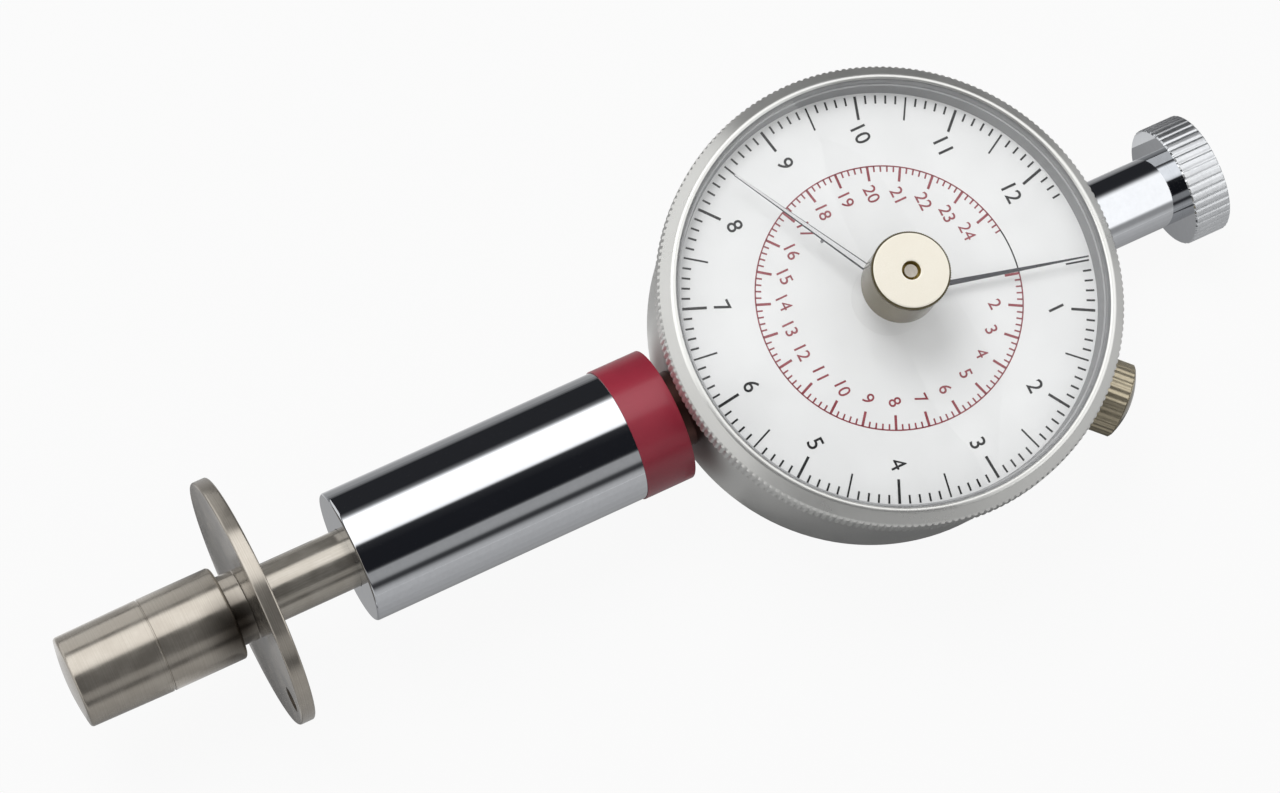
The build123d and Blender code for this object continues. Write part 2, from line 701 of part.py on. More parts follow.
# Bezel with the dial, its ring, the retaining wire, the crystal and the gasket
with BuildPart() as bezel:
    turn(Plane.XZ, Axis.Z, [
        (cavity_radius, bezel_bottom), (bezel_radius - bezel_edge, bezel_bottom),
        (bezel_radius, bezel_bottom + bezel_edge), (bezel_radius, dial_height + knurl_rise),
        (rim_radius + rim_width / 2, rim_top), (rim_radius - rim_width / 2, rim_top),
        (lip_radius, crystal_rim_top + rim_lip / 2), (lip_radius, crystal_rim_top + running_gap),
        (crystal_rim_radius + running_gap, crystal_rim_top + running_gap),
        (crystal_rim_radius + running_gap, groove_bottom), (dial_window, groove_bottom),
        (dial_window, dial_height), (cavity_radius, dial_height)])
bezel.part.label = "bezel"

with BuildPart() as dial_plate:
    upright(dial_bottom, dial_height, dial_radius)
    upright(dial_bottom, dial_height, dial_hole, Mode.SUBTRACT)
dial_plate.part.label = "dial_plate"

with BuildPart() as dial_ring:
    turn(Plane.XZ, Axis.Z, [
        (dial_ring_bore, dial_ring_bottom), (dial_ring_radius, dial_ring_bottom),
        (dial_ring_radius, flange_bottom), (flange_radius, flange_bottom),
        (flange_radius, dial_bottom), (dial_ring_bore, dial_bottom)])
    with Locations((0, 0, wire_height)):
        Torus(bore_radius, wire_radius + turning_gap, mode=Mode.SUBTRACT)
dial_ring.part.label = "dial_ring"

with BuildPart() as bezel_wire:
    with Locations((0, 0, wire_height)):
        Torus(bore_radius, wire_radius)
bezel_wire.part.label = "bezel_wire"

with BuildPart() as crystal:
    outer_shoulder = outer_top - crystal_flat_drop
    inner_shoulder = inner_top - crystal_flat_drop
    outer_edge = lip_radius - running_gap
    inner_edge = dial_window - turning_gap
    with BuildSketch(Plane.XZ):
        with BuildLine():
            outer_cap = TangentArc((0, outer_top), (crystal_flat_radius, outer_shoulder), tangent=(1, 0))
            TangentArc((crystal_flat_radius, outer_shoulder), (outer_edge, crystal_rim_top),
                       tangent=outer_cap % 1)
            Polyline((outer_edge, crystal_rim_top), (crystal_rim_radius, crystal_rim_top),
                     (crystal_rim_radius, crystal_rim_bottom), (inner_edge, crystal_rim_bottom))
            inner_cap = TangentArc((0, inner_top), (crystal_flat_radius, inner_shoulder), tangent=(1, 0))
            TangentArc((crystal_flat_radius, inner_shoulder), (inner_edge, crystal_rim_bottom),
                       tangent=inner_cap % 1)
            Line((0, inner_top), (0, outer_top))
        make_face()
    revolve(axis=Axis.Z)
    upright(dial_height, bush_top, crystal_hole, Mode.SUBTRACT)
crystal.part.label = "crystal"

with BuildPart() as crystal_gasket:
    upright(gasket_bottom, gasket_bottom + gasket_thickness, crystal_rim_radius)
    upright(gasket_bottom, gasket_bottom + gasket_thickness, dial_window + turning_gap, Mode.SUBTRACT)
crystal_gasket.part.label = "crystal_gasket"

# Reset knob through the crystal, with the pointer that stays at the highest reading
with BuildPart() as crystal_bush:
    upright(bush_flange_bottom, bush_flange_top, bush_flange_radius)
    upright(bush_flange_bottom, bush_top, crystal_hole - seat_gap)
    upright(outer_top, bush_top, bush_collar_radius)
    upright(bush_flange_bottom, bush_top, reset_bore_radius, Mode.SUBTRACT)
crystal_bush.part.label = "crystal_bush"

with BuildPart() as reset_knob:
    upright(reset_base, reset_top, reset_knob_radius)
    fillet(reset_knob.faces().sort_by(Axis.Z)[-1].edges(), reset_knob_rounding)
    upright(reset_base, web_bottom, reset_bore_radius, Mode.SUBTRACT)
    upright(web_bottom, web_top, reset_pin_radius + seat_gap, Mode.SUBTRACT)
    upright(web_top, reset_top, reset_bore_radius, Mode.SUBTRACT)
reset_knob.part.label = "reset_knob"

with BuildPart() as reset_arbor:
    upright(drag_hub_top - drag_hub_height - arbor_tail, web_bottom, reset_arbor_radius)
    upright(web_bottom, reset_top - reset_pin_drop, reset_pin_radius)
reset_arbor.part.label = "reset_arbor"

with BuildPart() as drag_washer:
    upright(drag_hub_top, drag_hub_top + drag_washer_thickness, drag_washer_radius)
    upright(drag_hub_top, drag_hub_top + drag_washer_thickness, reset_arbor_radius + seat_gap, Mode.SUBTRACT)
drag_washer.part.label = "drag_washer"

with BuildPart() as drag_pointer:
    drag_plane = pointer_plane(drag_angle, drag_root, drag_slope)
    peg_place = drag_plane.from_local_coords(Vector(0, peg_circle, 0))
    upright(drag_hub_top - drag_hub_height, drag_hub_top, drag_hub_radius)
    blade(drag_plane, drag_reach, drag_root_width, drag_tip_width)
    with Locations((peg_place.X, peg_place.Y)):
        upright(peg_bottom, peg_place.Z, peg_radius)
    upright(dial_height, bush_top, reset_arbor_radius + seat_gap, Mode.SUBTRACT)
drag_pointer.part.label = "drag_pointer"

# Lock screw and the shoe that it presses against the dial ring
with BuildPart() as lock_screw:
    with BuildSketch(lock_plane) as lock_outline:
        with BuildLine():
            TangentArc((lock_knob_end, 0), (lock_knob_rim, lock_knob_radius), tangent=(0, 1))
            Polyline((lock_knob_rim, lock_knob_radius), (lock_knob_face + knob_chamfer, lock_knob_radius),
                     (lock_knob_face, lock_knob_radius - knob_chamfer), (lock_knob_face, lock_screw_radius),
                     (shoe_outer, lock_screw_radius), (shoe_outer, 0), (lock_knob_end, 0))
        make_face()
    revolve(lock_outline.sketch, axis=lock_axis)
    flutes(lock_face_plane, lock_knob_radius, lock_flute_depth, lock_knob_flutes, lock_knob_length)
lock_screw.part.label = "lock_screw"

with BuildPart() as lock_shoe:
    turn(lock_plane, lock_axis, [
        (lock_shoe_end, 0), (shoe_outer, 0), (shoe_outer, lock_screw_radius),
        (lock_shoe_end, lock_screw_radius)])
lock_shoe.part.label = "lock_shoe"

# Write one file for each piece
pieces = [
    gauge_case, back_cover, back_cover_screws, barrel, barrel_grub_screws, red_band, front_bush, main_spring,
    top_stem, knob_washer, top_knob, plunger_rod, spring_collar, collar_pin, rack_rod, guide_pin, guard_disc,
    indenter_tip, rear_plate, rear_plate_screws, plate_pillars, front_plate, front_plate_screws, arbor_bushes,
    pinion_arbor, hairspring_collet, hairspring, hairspring_stud, active_pointer, bezel, dial_plate,
    dial_ring, bezel_wire, crystal, crystal_gasket, crystal_bush, reset_knob, reset_arbor, drag_washer,
    drag_pointer, lock_screw, lock_shoe,
]
os.makedirs("parts", exist_ok=True)
for piece in pieces:
    export_step(piece.part, f"parts/{piece.part.label}.step")
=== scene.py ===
"""The looks of a fruit hardness tester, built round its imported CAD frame, and the studio that shows it.

The frame is the CAD's own: origin at the back cover's centre, +Z out of the dial, +Y along the tool
towards the top knob, +X to the right of someone who reads the dial. The parts' sizes are in millimetres.
"""

import logging
import math
from dataclasses import dataclass
from enum import Enum
from typing import Callable, Dict, List, Optional, Sequence, Tuple, Union

import bmesh
import bpy
from mathutils import Matrix, Vector


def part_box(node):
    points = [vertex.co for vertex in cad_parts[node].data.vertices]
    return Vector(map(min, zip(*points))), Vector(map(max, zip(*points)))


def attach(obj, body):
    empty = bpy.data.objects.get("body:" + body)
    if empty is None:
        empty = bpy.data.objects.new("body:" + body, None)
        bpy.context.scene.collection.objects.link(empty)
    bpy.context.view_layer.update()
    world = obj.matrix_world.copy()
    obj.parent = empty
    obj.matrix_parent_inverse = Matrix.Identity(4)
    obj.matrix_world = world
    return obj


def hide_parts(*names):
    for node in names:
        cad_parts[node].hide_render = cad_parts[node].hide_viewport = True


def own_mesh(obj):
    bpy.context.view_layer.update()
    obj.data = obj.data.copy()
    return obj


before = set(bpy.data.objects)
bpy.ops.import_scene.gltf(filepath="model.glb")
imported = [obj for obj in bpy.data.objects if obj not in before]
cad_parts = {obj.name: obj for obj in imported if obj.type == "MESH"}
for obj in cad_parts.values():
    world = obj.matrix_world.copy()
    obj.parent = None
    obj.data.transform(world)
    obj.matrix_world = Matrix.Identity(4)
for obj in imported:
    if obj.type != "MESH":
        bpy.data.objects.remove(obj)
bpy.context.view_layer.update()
log = logging.getLogger("tester")

MM = 0.001
FULL_TURN = 2.0 * math.pi
TURN_STEPS = 160
ROUND_SEGMENTS = 4
FEW_SEGMENTS = 2
WELD = 0.0005
SHARP_ANGLE = math.radians(32.0)
TOOL_HEIGHT = 8.0
DIAL_HEIGHT = 18.8

# Directions of the shared frame, as the numbers of its coordinates.
ACROSS = 0
ALONG = 1
UP = 2

# Two corners with painted shade, at the barrel's neck and beside the disc's hub: where each one is, how
# far out the painted shade is full, and where it ends.
NECK_SHADE_PLACE = (0.0, -26.6, TOOL_HEIGHT)
NECK_SHADE_REACH = (5.8, 11.2)
HUB_SHADE_PLACE = (2.4, -82.6, 11.6)
HUB_SHADE_REACH = (0.8, 5.4)

# Where most values of a noise texture lie, and most values of two such textures multiplied.
NOISE_MIDDLE = (0.35, 0.65)
MARKS_MIDDLE = (0.12, 0.42)

# How finely the noise textures are broken up: a smooth ripple, grit, lines or patches, and haze.
RIPPLE_DETAIL = 1.0
GRIT_DETAIL = 2.0
PATCH_DETAIL = 3.0
HAZE_DETAIL = 4.0
HAZE_ROUGHNESS = 0.6

# The numbers of a mix node's colour sockets.
FIRST_COLOUR = 6
SECOND_COLOUR = 7
MIXED_COLOUR = 2

Triple = Tuple[float, float, float]
Profile = Tuple[Tuple[float, float], ...]
Inputs = Dict[Union[str, int], object]


# Shared tools

def linear(hex_colour: str) -> Tuple[float, float, float, float]:
    """Turn an sRGB hex colour to the linear colour that a shader takes.

    Args:
        hex_colour: six hex digits after a hash sign.

    Returns:
        Linear red, green and blue, and full alpha.
    """
    # The numbers below are the sRGB standard's own.
    channels = []
    for start in (1, 3, 5):
        share = int(hex_colour[start:start + 2], 16) / 255.0
        channels.append(share / 12.92 if share <= 0.04045 else ((share + 0.055) / 1.055) ** 2.4)
    return channels[0], channels[1], channels[2], 1.0


def per_mm(size: float) -> float:
    """Give the texture scale whose features are about that many millimetres across."""
    return 1.0 / (size * MM)


def add_node(tree: bpy.types.NodeTree, kind: str, settings: Optional[Dict[str, object]] = None,
             inputs: Optional[Inputs] = None) -> bpy.types.Node:
    """Add a node with its settings and links.

    Args:
        tree: the node tree.
        kind: the node's type.
        settings: properties to set on the node.
        inputs: a value or an output socket for each named or numbered input.

    Returns:
        The new node.
    """
    node = tree.nodes.new(kind)
    for name, value in (settings or {}).items():
        setattr(node, name, value)
    for name, value in (inputs or {}).items():
        if isinstance(value, bpy.types.NodeSocket):
            tree.links.new(value, node.inputs[name])
        else:
            node.inputs[name].default_value = value
    return node


def new_material(name: str) -> Tuple[bpy.types.Material, bpy.types.NodeTree, bpy.types.NodeSocket]:
    """Start a material with an empty node tree.

    Args:
        name: the material's name.

    Returns:
        The material, its tree and the socket that takes the surface shader.
    """
    material = bpy.data.materials.new(name)
    material.use_nodes = True
    material.node_tree.nodes.clear()
    output = add_node(material.node_tree, "ShaderNodeOutputMaterial")
    return material, material.node_tree, output.inputs["Surface"]


@dataclass(frozen=True)
class Axis:
    """A line that pieces are turned about, with the side where their outlines start."""

    origin: Triple
    along: Triple
    side: Triple

    def matrix(self) -> Matrix:
        """Place a mesh that was made about local Z.

        Returns:
            The matrix that takes millimetres about local Z to metres about this line.
        """
        along = Vector(self.along).normalized()
        side = Vector(self.side).normalized()
        turn = Matrix((side, along.cross(side), along)).transposed().to_4x4()
        return Matrix.Translation(Vector(self.origin) * MM) @ turn @ Matrix.Scale(MM, 4)


TOOL_AXIS = Axis((0.0, 0.0, TOOL_HEIGHT), (0.0, 1.0, 0.0), (0.0, 0.0, 1.0))
DIAL_AXIS = Axis((0.0, 0.0, 0.0), (0.0, 0.0, 1.0), (1.0, 0.0, 0.0))
LOCK_AXIS = Axis((0.0, 0.0, 12.2), (1.0, 1.0, 0.0), (0.0, 0.0, 1.0))


@dataclass(frozen=True)
class Corner:
    """A corner of a turned outline: its place along the axis, its radius and how far it is rounded."""

    along: float
    radius: float
    rounding: float = 0.0
    segments: int = ROUND_SEGMENTS


@dataclass(frozen=True)
class Flutes:
    """Grooves round a knob: how many, how deep, and the share of the depth at each point of one groove."""

    count: int
    depth: float
    shape: Tuple[float, ...]


def turned(corners: Sequence[Corner], closed: bool = False, steps: int = TURN_STEPS) -> bmesh.types.BMesh:
    """Spin an outline about local Z, with its corners rounded first.

    Args:
        corners: the outline's corners in order.
        closed: whether the last corner joins the first, as for a tube or ring.
        steps: how many steps the full turn has.

    Returns:
        A closed mesh in millimetres.
    """
    shape = bmesh.new()
    points = [shape.verts.new((corner.radius, 0.0, corner.along)) for corner in corners]
    following = points[1:] + points[:1] if closed else points[1:]
    for first, second in zip(points, following):
        shape.edges.new((first, second))
    for point, corner in zip(points, corners):
        if corner.rounding > 0.0:
            bmesh.ops.bevel(shape, geom=[point], offset=corner.rounding, offset_type="OFFSET",
                            segments=corner.segments, profile=0.5, affect="VERTICES", material=-1)
    bmesh.ops.spin(shape, geom=shape.verts[:] + shape.edges[:], cent=(0.0, 0.0, 0.0), axis=(0.0, 0.0, 1.0),
                   angle=FULL_TURN, steps=steps, use_merge=True)
    bmesh.ops.remove_doubles(shape, verts=shape.verts[:], dist=WELD)
    bmesh.ops.recalc_face_normals(shape, faces=shape.faces[:])
    return shape


def turned_ring(low: float, high: float, inner: float, outer: float, rounding: float = 0.0,
                steps: int = TURN_STEPS) -> bmesh.types.BMesh:
    """Turn a plain ring about local Z.

    Args:
        low: where it starts on local Z.
        high: where it ends.
        inner: its inner radius.
        outer: its outer radius.
        rounding: how far its outer corners are rounded.
        steps: how many steps the full turn has.

    Returns:
        A closed mesh in millimetres.
    """
    return turned([
        Corner(low, inner),
        Corner(low, outer, rounding),
        Corner(high, outer, rounding),
        Corner(high, inner),
    ], closed=True, steps=steps)


def turned_pin(low: float, high: float, radius: float, rounding: float, steps: int) -> bmesh.types.BMesh:
    """Turn a plain pin about local Z.

    Args:
        low: where it starts on local Z.
        high: where it ends.
        radius: its radius.
        rounding: how far the corner at its low end is rounded.
        steps: how many steps the full turn has.

    Returns:
        A closed mesh in millimetres.
    """
    return turned([
        Corner(low, 0.0),
        Corner(low, radius, rounding),
        Corner(high, radius),
        Corner(high, 0.0),
    ], steps=steps)


def flute_ring(points: Sequence[bmesh.types.BMVert], radius: float, flutes: Flutes,
               level: Tuple[float, float]) -> None:
    """Move a ring of points to a grooved outline, plain where its inset is deeper than the grooves.

    Args:
        points: the points, at even angles about local Z.
        radius: the radius over the crests.
        flutes: the grooves.
        level: the outline's height on local Z and its inset from the radius.
    """
    height, inset = level
    total = flutes.count * len(flutes.shape)
    for point in points:
        step = round(math.atan2(-point.co.x, point.co.y) / FULL_TURN * total)
        turn = FULL_TURN * step / total
        reach = radius - max(flutes.depth * flutes.shape[step % len(flutes.shape)], inset)
        point.co = Vector((-reach * math.sin(turn), reach * math.cos(turn), height))


def fluted_solid(radius: float, flutes: Flutes, levels: Sequence[Tuple[float, float]]) -> bmesh.types.BMesh:
    """Raise a grooved circle through several levels to a solid.

    Args:
        radius: the radius over the crests.
        flutes: the grooves.
        levels: height and inset from the radius at each level, from the bottom up.

    Returns:
        A closed mesh in millimetres.
    """
    shape = bmesh.new()
    segments = flutes.count * len(flutes.shape)
    points = bmesh.ops.create_circle(shape, cap_ends=True, segments=segments, radius=radius)["verts"]
    flute_ring(points, radius, flutes, levels[0])
    bottom = points[0].link_faces[0]
    face = bottom
    for level in levels[1:]:
        raised = bmesh.ops.extrude_face_region(shape, geom=[face])["geom"]
        if face is not bottom and face.is_valid:
            bmesh.ops.delete(shape, geom=[face], context="FACES_ONLY")
        face = next(item for item in raised if isinstance(item, bmesh.types.BMFace))
        flute_ring(face.verts[:], radius, flutes, level)
    bmesh.ops.recalc_face_normals(shape, faces=shape.faces[:])
    return shape


def fluted_band(radius: float, inner: float, flutes: Flutes,
                levels: Sequence[Tuple[float, float]]) -> bmesh.types.BMesh:
    """Raise a grooved circle through several levels to a band that is open in the middle.

    Args:
        radius: the radius over the crests.
        inner: the band's inner radius.
        flutes: the grooves.
        levels: height and inset from the radius at each level, from the bottom up.

    Returns:
        A closed ring in millimetres.
    """
    shape = bmesh.new()
    segments = flutes.count * len(flutes.shape)
    points = bmesh.ops.create_circle(shape, cap_ends=False, segments=segments, radius=radius)["verts"]
    flute_ring(points, radius, flutes, levels[0])
    start = shape.edges[:]
    rim = start
    for level in list(levels[1:]) + [(levels[-1][0], radius - inner), (levels[0][0], radius - inner)]:
        raised = bmesh.ops.extrude_edge_only(shape, edges=rim)["geom"]
        rim = [item for item in raised if isinstance(item, bmesh.types.BMEdge)]
        flute_ring([item for item in raised if isinstance(item, bmesh.types.BMVert)], radius, flutes, level)
    bmesh.ops.bridge_loops(shape, edges=start + rim)
    bmesh.ops.recalc_face_normals(shape, faces=shape.faces[:])
    return shape


def joined(*parts: bmesh.types.BMesh) -> bmesh.types.BMesh:
    """Put several meshes into the first one.

    Args:
        parts: the meshes, of which all but the first are freed.

    Returns:
        The first mesh with all of them in it.
    """
    for part in parts[1:]:
        held = bpy.data.meshes.new("held")
        part.to_mesh(held)
        part.free()
        parts[0].from_mesh(held)
        bpy.data.meshes.remove(held)
    return parts[0]


def drilled(shape: bmesh.types.BMesh, drill: bmesh.types.BMesh) -> bmesh.types.BMesh:
    """Cut one closed mesh out of another.

    Args:
        shape: the mesh that is cut.
        drill: the mesh that is taken away.

    Returns:
        The cut mesh.
    """
    objects = []
    for part in (shape, drill):
        mesh = bpy.data.meshes.new("blank")
        part.to_mesh(mesh)
        part.free()
        objects.append(bpy.data.objects.new("blank", mesh))
        bpy.context.scene.collection.objects.link(objects[-1])
    cut = objects[0].modifiers.new("drill", "BOOLEAN")
    cut.operation = "DIFFERENCE"
    cut.solver = "EXACT"
    cut.object = objects[1]
    result = as_mesh(objects[0])
    bored = bmesh.new()
    bored.from_mesh(result)
    bpy.data.meshes.remove(result)
    for item in objects:
        bpy.data.meshes.remove(item.data)
    return bored


def as_mesh(item: bpy.types.Object) -> bpy.types.Mesh:
    """Give a new mesh of an object with its modifiers or its text worked out."""
    return bpy.data.meshes.new_from_object(item.evaluated_get(bpy.context.evaluated_depsgraph_get()))


def make_piece(name: str, shape: bmesh.types.BMesh, axis: Axis, material: bpy.types.Material, body: str,
               slot: str, *nodes: str) -> bpy.types.Object:
    """Make a finished piece that rides on a body and stands for CAD nodes.

    Args:
        name: the piece's name.
        shape: its mesh in millimetres about local Z, which is freed.
        axis: where the mesh goes.
        material: its finish.
        body: the body it rides on.
        slot: the record's slot for its finish; not used.
        nodes: the CAD nodes it stands for.

    Returns:
        The piece.
    """
    shape.transform(axis.matrix())
    mesh = bpy.data.meshes.new(name)
    shape.to_mesh(mesh)
    shape.free()
    mesh.shade_smooth()
    mesh.set_sharp_from_angle(angle=SHARP_ANGLE)
    mesh.materials.append(material)
    piece = bpy.data.objects.new(name, mesh)
    bpy.context.scene.collection.objects.link(piece)
    weighted = piece.modifiers.new("even shading", "WEIGHTED_NORMAL")
    weighted.keep_sharp = True
    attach(piece, body)
    if nodes:
        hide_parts(*nodes)
    log.info("%s: %d faces, rides on %s", name, len(mesh.polygons), body)
    return piece


def refinish(piece: bpy.types.Object, material: bpy.types.Material,
             chosen: Callable[[Vector, Vector], bool]) -> None:
    """Give another finish to some faces of a piece.

    Args:
        piece: the piece.
        material: the other finish.
        chosen: tells from a face's centre in millimetres and its normal whether it gets that finish.
    """
    piece.data.materials.append(material)
    index = len(piece.data.materials) - 1
    for face in piece.data.polygons:
        if chosen(face.center / MM, face.normal):
            face.material_index = index


def span(node: str, direction: int) -> Tuple[float, float]:
    """Give where a CAD node starts and ends in one direction, in millimetres."""
    low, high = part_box(node)
    return low[direction] / MM, high[direction] / MM


def outer_radius(node: str) -> float:
    """Give the radius of a CAD node that is round about the tool or the dial, in millimetres."""
    return span(node, ACROSS)[1]


# Finishes

class Grain(Enum):
    """How the marks of making lie on a metal."""

    BLASTED = "even, from blasting or plating"
    DRAWN = "lines along the tool"
    TURNED_TOOL = "rings about the tool's length"
    TURNED_DIAL = "rings about the dial's centre"


@dataclass(frozen=True)
class MetalFinish:
    """A metal surface: making marks, a haze from handling, dark specks if worn, and painted shade at a
    corner.
    """

    name: str
    bright: str
    dull: str
    roughness: Tuple[float, float]
    grain: Grain
    grain_width: float
    grain_depth: float
    metallic: float = 1.0
    haze_size: float = 9.0
    stretch: float = 40.0
    speck_spacing: float = 0.0
    speck_size: float = 0.12
    speck_colour: str = "#4b443c"
    speck_darkness: float = 0.8
    speck_core: float = 0.5
    corner_colour: str = ""
    corner_place: Triple = NECK_SHADE_PLACE
    corner_reach: Tuple[float, float] = NECK_SHADE_REACH

    def marks(self, tree: bpy.types.NodeTree, place: bpy.types.NodeSocket) -> bpy.types.NodeSocket:
        """Draw the marks of making.

        Args:
            tree: the material's tree.
            place: Object coordinates.

        Returns:
            A socket with the marks' height from 0 to 1.
        """
        fine = per_mm(self.grain_width)
        if self.grain is Grain.BLASTED:
            node = add_node(tree, "ShaderNodeTexNoise", None,
                            {"Vector": place, "Scale": fine, "Detail": GRIT_DETAIL})
            return node.outputs[0]
        if self.grain is Grain.DRAWN:
            long = (fine, fine / self.stretch, fine)
            drawn_out = add_node(tree, "ShaderNodeMapping", None, {"Vector": place, "Scale": long})
            node = add_node(tree, "ShaderNodeTexNoise", None,
                            {"Vector": drawn_out.outputs[0], "Scale": 1.0, "Detail": PATCH_DETAIL})
            return node.outputs[0]
        about_tool = self.grain is Grain.TURNED_TOOL
        across = (1.0, 0.0, 1.0) if about_tool else (1.0, 1.0, 0.0)
        lift = (0.0, 0.0, -TOOL_HEIGHT * MM) if about_tool else (0.0, 0.0, 0.0)
        centred = add_node(tree, "ShaderNodeVectorMath", {"operation": "ADD"}, {0: place, 1: lift})
        flat = add_node(tree, "ShaderNodeVectorMath", {"operation": "MULTIPLY"},
                        {0: centred.outputs[0], 1: across})
        radius = add_node(tree, "ShaderNodeVectorMath", {"operation": "LENGTH"}, {0: flat.outputs[0]})
        parts = add_node(tree, "ShaderNodeSeparateXYZ", None, {0: place})
        height = parts.outputs["Y" if about_tool else "Z"]
        both = add_node(tree, "ShaderNodeMath", {"operation": "ADD"},
                        {0: radius.outputs["Value"], 1: height})
        node = add_node(tree, "ShaderNodeTexNoise", {"noise_dimensions": "1D"},
                        {"W": both.outputs[0], "Scale": fine, "Detail": PATCH_DETAIL})
        return node.outputs[0]

    def corner(self, tree: bpy.types.NodeTree, place: bpy.types.NodeSocket) -> bpy.types.NodeSocket:
        """Paint shade and reflections about a corner, as a darker colour.

        Args:
            tree: the material's tree.
            place: Object coordinates.

        Returns:
            A socket that is 1 in the corner and falls to 0 a few millimetres away.
        """
        middle = tuple(-part * MM for part in self.corner_place)
        full, end = self.corner_reach
        centred = add_node(tree, "ShaderNodeVectorMath", {"operation": "ADD"}, {0: place, 1: middle})
        far = add_node(tree, "ShaderNodeVectorMath", {"operation": "LENGTH"}, {0: centred.outputs[0]})
        near = add_node(tree, "ShaderNodeMapRange", {"interpolation_type": "SMOOTHSTEP"},
                        {"Value": far.outputs["Value"], "From Min": full * MM, "From Max": end * MM,
                         "To Min": 1.0, "To Max": 0.0})
        return near.outputs[0]

    def build(self) -> bpy.types.Material:
        """Build the material.

        Returns:
            The material, ready for any piece.
        """
        material, tree, surface = new_material(self.name)
        place = add_node(tree, "ShaderNodeTexCoord").outputs["Object"]
        marks = self.marks(tree, place)
        haze = add_node(tree, "ShaderNodeTexNoise", None,
                        {"Vector": place, "Scale": per_mm(self.haze_size), "Detail": HAZE_DETAIL,
                         "Roughness": HAZE_ROUGHNESS})
        both = add_node(tree, "ShaderNodeMath", {"operation": "MULTIPLY"}, {0: marks, 1: haze.outputs[0]})
        shade = add_node(tree, "ShaderNodeMapRange", None,
                         {"Value": both.outputs[0], "From Min": MARKS_MIDDLE[0],
                          "From Max": MARKS_MIDDLE[1]})
        metal = add_node(tree, "ShaderNodeMix", {"data_type": "RGBA"},
                         {0: shade.outputs[0], FIRST_COLOUR: linear(self.dull),
                          SECOND_COLOUR: linear(self.bright)})
        colour = metal.outputs[MIXED_COLOUR]
        if self.speck_spacing > 0.0:
            cells = add_node(tree, "ShaderNodeTexVoronoi", None,
                             {"Vector": place, "Scale": per_mm(self.speck_spacing)})
            edge = self.speck_size / self.speck_spacing
            spot = add_node(tree, "ShaderNodeMapRange", None,
                            {"Value": cells.outputs["Distance"], "From Min": edge * self.speck_core,
                             "From Max": edge, "To Min": self.speck_darkness, "To Max": 0.0})
            specked = add_node(tree, "ShaderNodeMix", {"data_type": "RGBA"},
                               {0: spot.outputs[0], FIRST_COLOUR: colour,
                                SECOND_COLOUR: linear(self.speck_colour)})
            colour = specked.outputs[MIXED_COLOUR]
        if self.corner_colour:
            shaded = add_node(tree, "ShaderNodeMix", {"data_type": "RGBA"},
                              {0: self.corner(tree, place), FIRST_COLOUR: colour,
                               SECOND_COLOUR: linear(self.corner_colour)})
            colour = shaded.outputs[MIXED_COLOUR]
        rough = add_node(tree, "ShaderNodeMapRange", None,
                         {"Value": haze.outputs[0],
                          "From Min": NOISE_MIDDLE[0], "From Max": NOISE_MIDDLE[1],
                          "To Min": self.roughness[0], "To Max": self.roughness[1]})
        bump = add_node(tree, "ShaderNodeBump", None,
                        {"Strength": 1.0, "Distance": self.grain_depth * MM, "Height": marks})
        shader = add_node(tree, "ShaderNodeBsdfPrincipled", None,
                          {"Base Color": colour, "Metallic": self.metallic, "Roughness": rough.outputs[0],
                           "Normal": bump.outputs[0]})
        tree.links.new(shader.outputs[0], surface)
        return material


@dataclass(frozen=True)
class PlainFinish:
    """Paint, ink, film, rubber or plastic: a colour with a faint mottle, a skin texture and a gloss."""

    name: str
    colour: str
    mottle: str
    roughness: float
    texture_size: float
    texture_depth: float
    mottle_size: float = 6.0
    coat: float = 0.0
    coat_roughness: float = 0.12

    def build(self) -> bpy.types.Material:
        """Build the material.

        Returns:
            The material, ready for any piece.
        """
        material, tree, surface = new_material(self.name)
        place = add_node(tree, "ShaderNodeTexCoord").outputs["Object"]
        patch = add_node(tree, "ShaderNodeTexNoise", None,
                         {"Vector": place, "Scale": per_mm(self.mottle_size), "Detail": PATCH_DETAIL})
        share = add_node(tree, "ShaderNodeMapRange", None,
                         {"Value": patch.outputs[0], "From Min": NOISE_MIDDLE[0],
                          "From Max": NOISE_MIDDLE[1]})
        colour = add_node(tree, "ShaderNodeMix", {"data_type": "RGBA"},
                          {0: share.outputs[0], FIRST_COLOUR: linear(self.colour),
                           SECOND_COLOUR: linear(self.mottle)})
        skin = add_node(tree, "ShaderNodeTexNoise", None,
                        {"Vector": place, "Scale": per_mm(self.texture_size), "Detail": GRIT_DETAIL})
        bump = add_node(tree, "ShaderNodeBump", None,
                        {"Strength": 1.0, "Distance": self.texture_depth * MM, "Height": skin.outputs[0]})
        shader = add_node(tree, "ShaderNodeBsdfPrincipled", None,
                          {"Base Color": colour.outputs[MIXED_COLOUR], "Roughness": self.roughness,
                           "Normal": bump.outputs[0], "Coat Weight": self.coat,
                           "Coat Roughness": self.coat_roughness})
        tree.links.new(shader.outputs[0], surface)
        return material


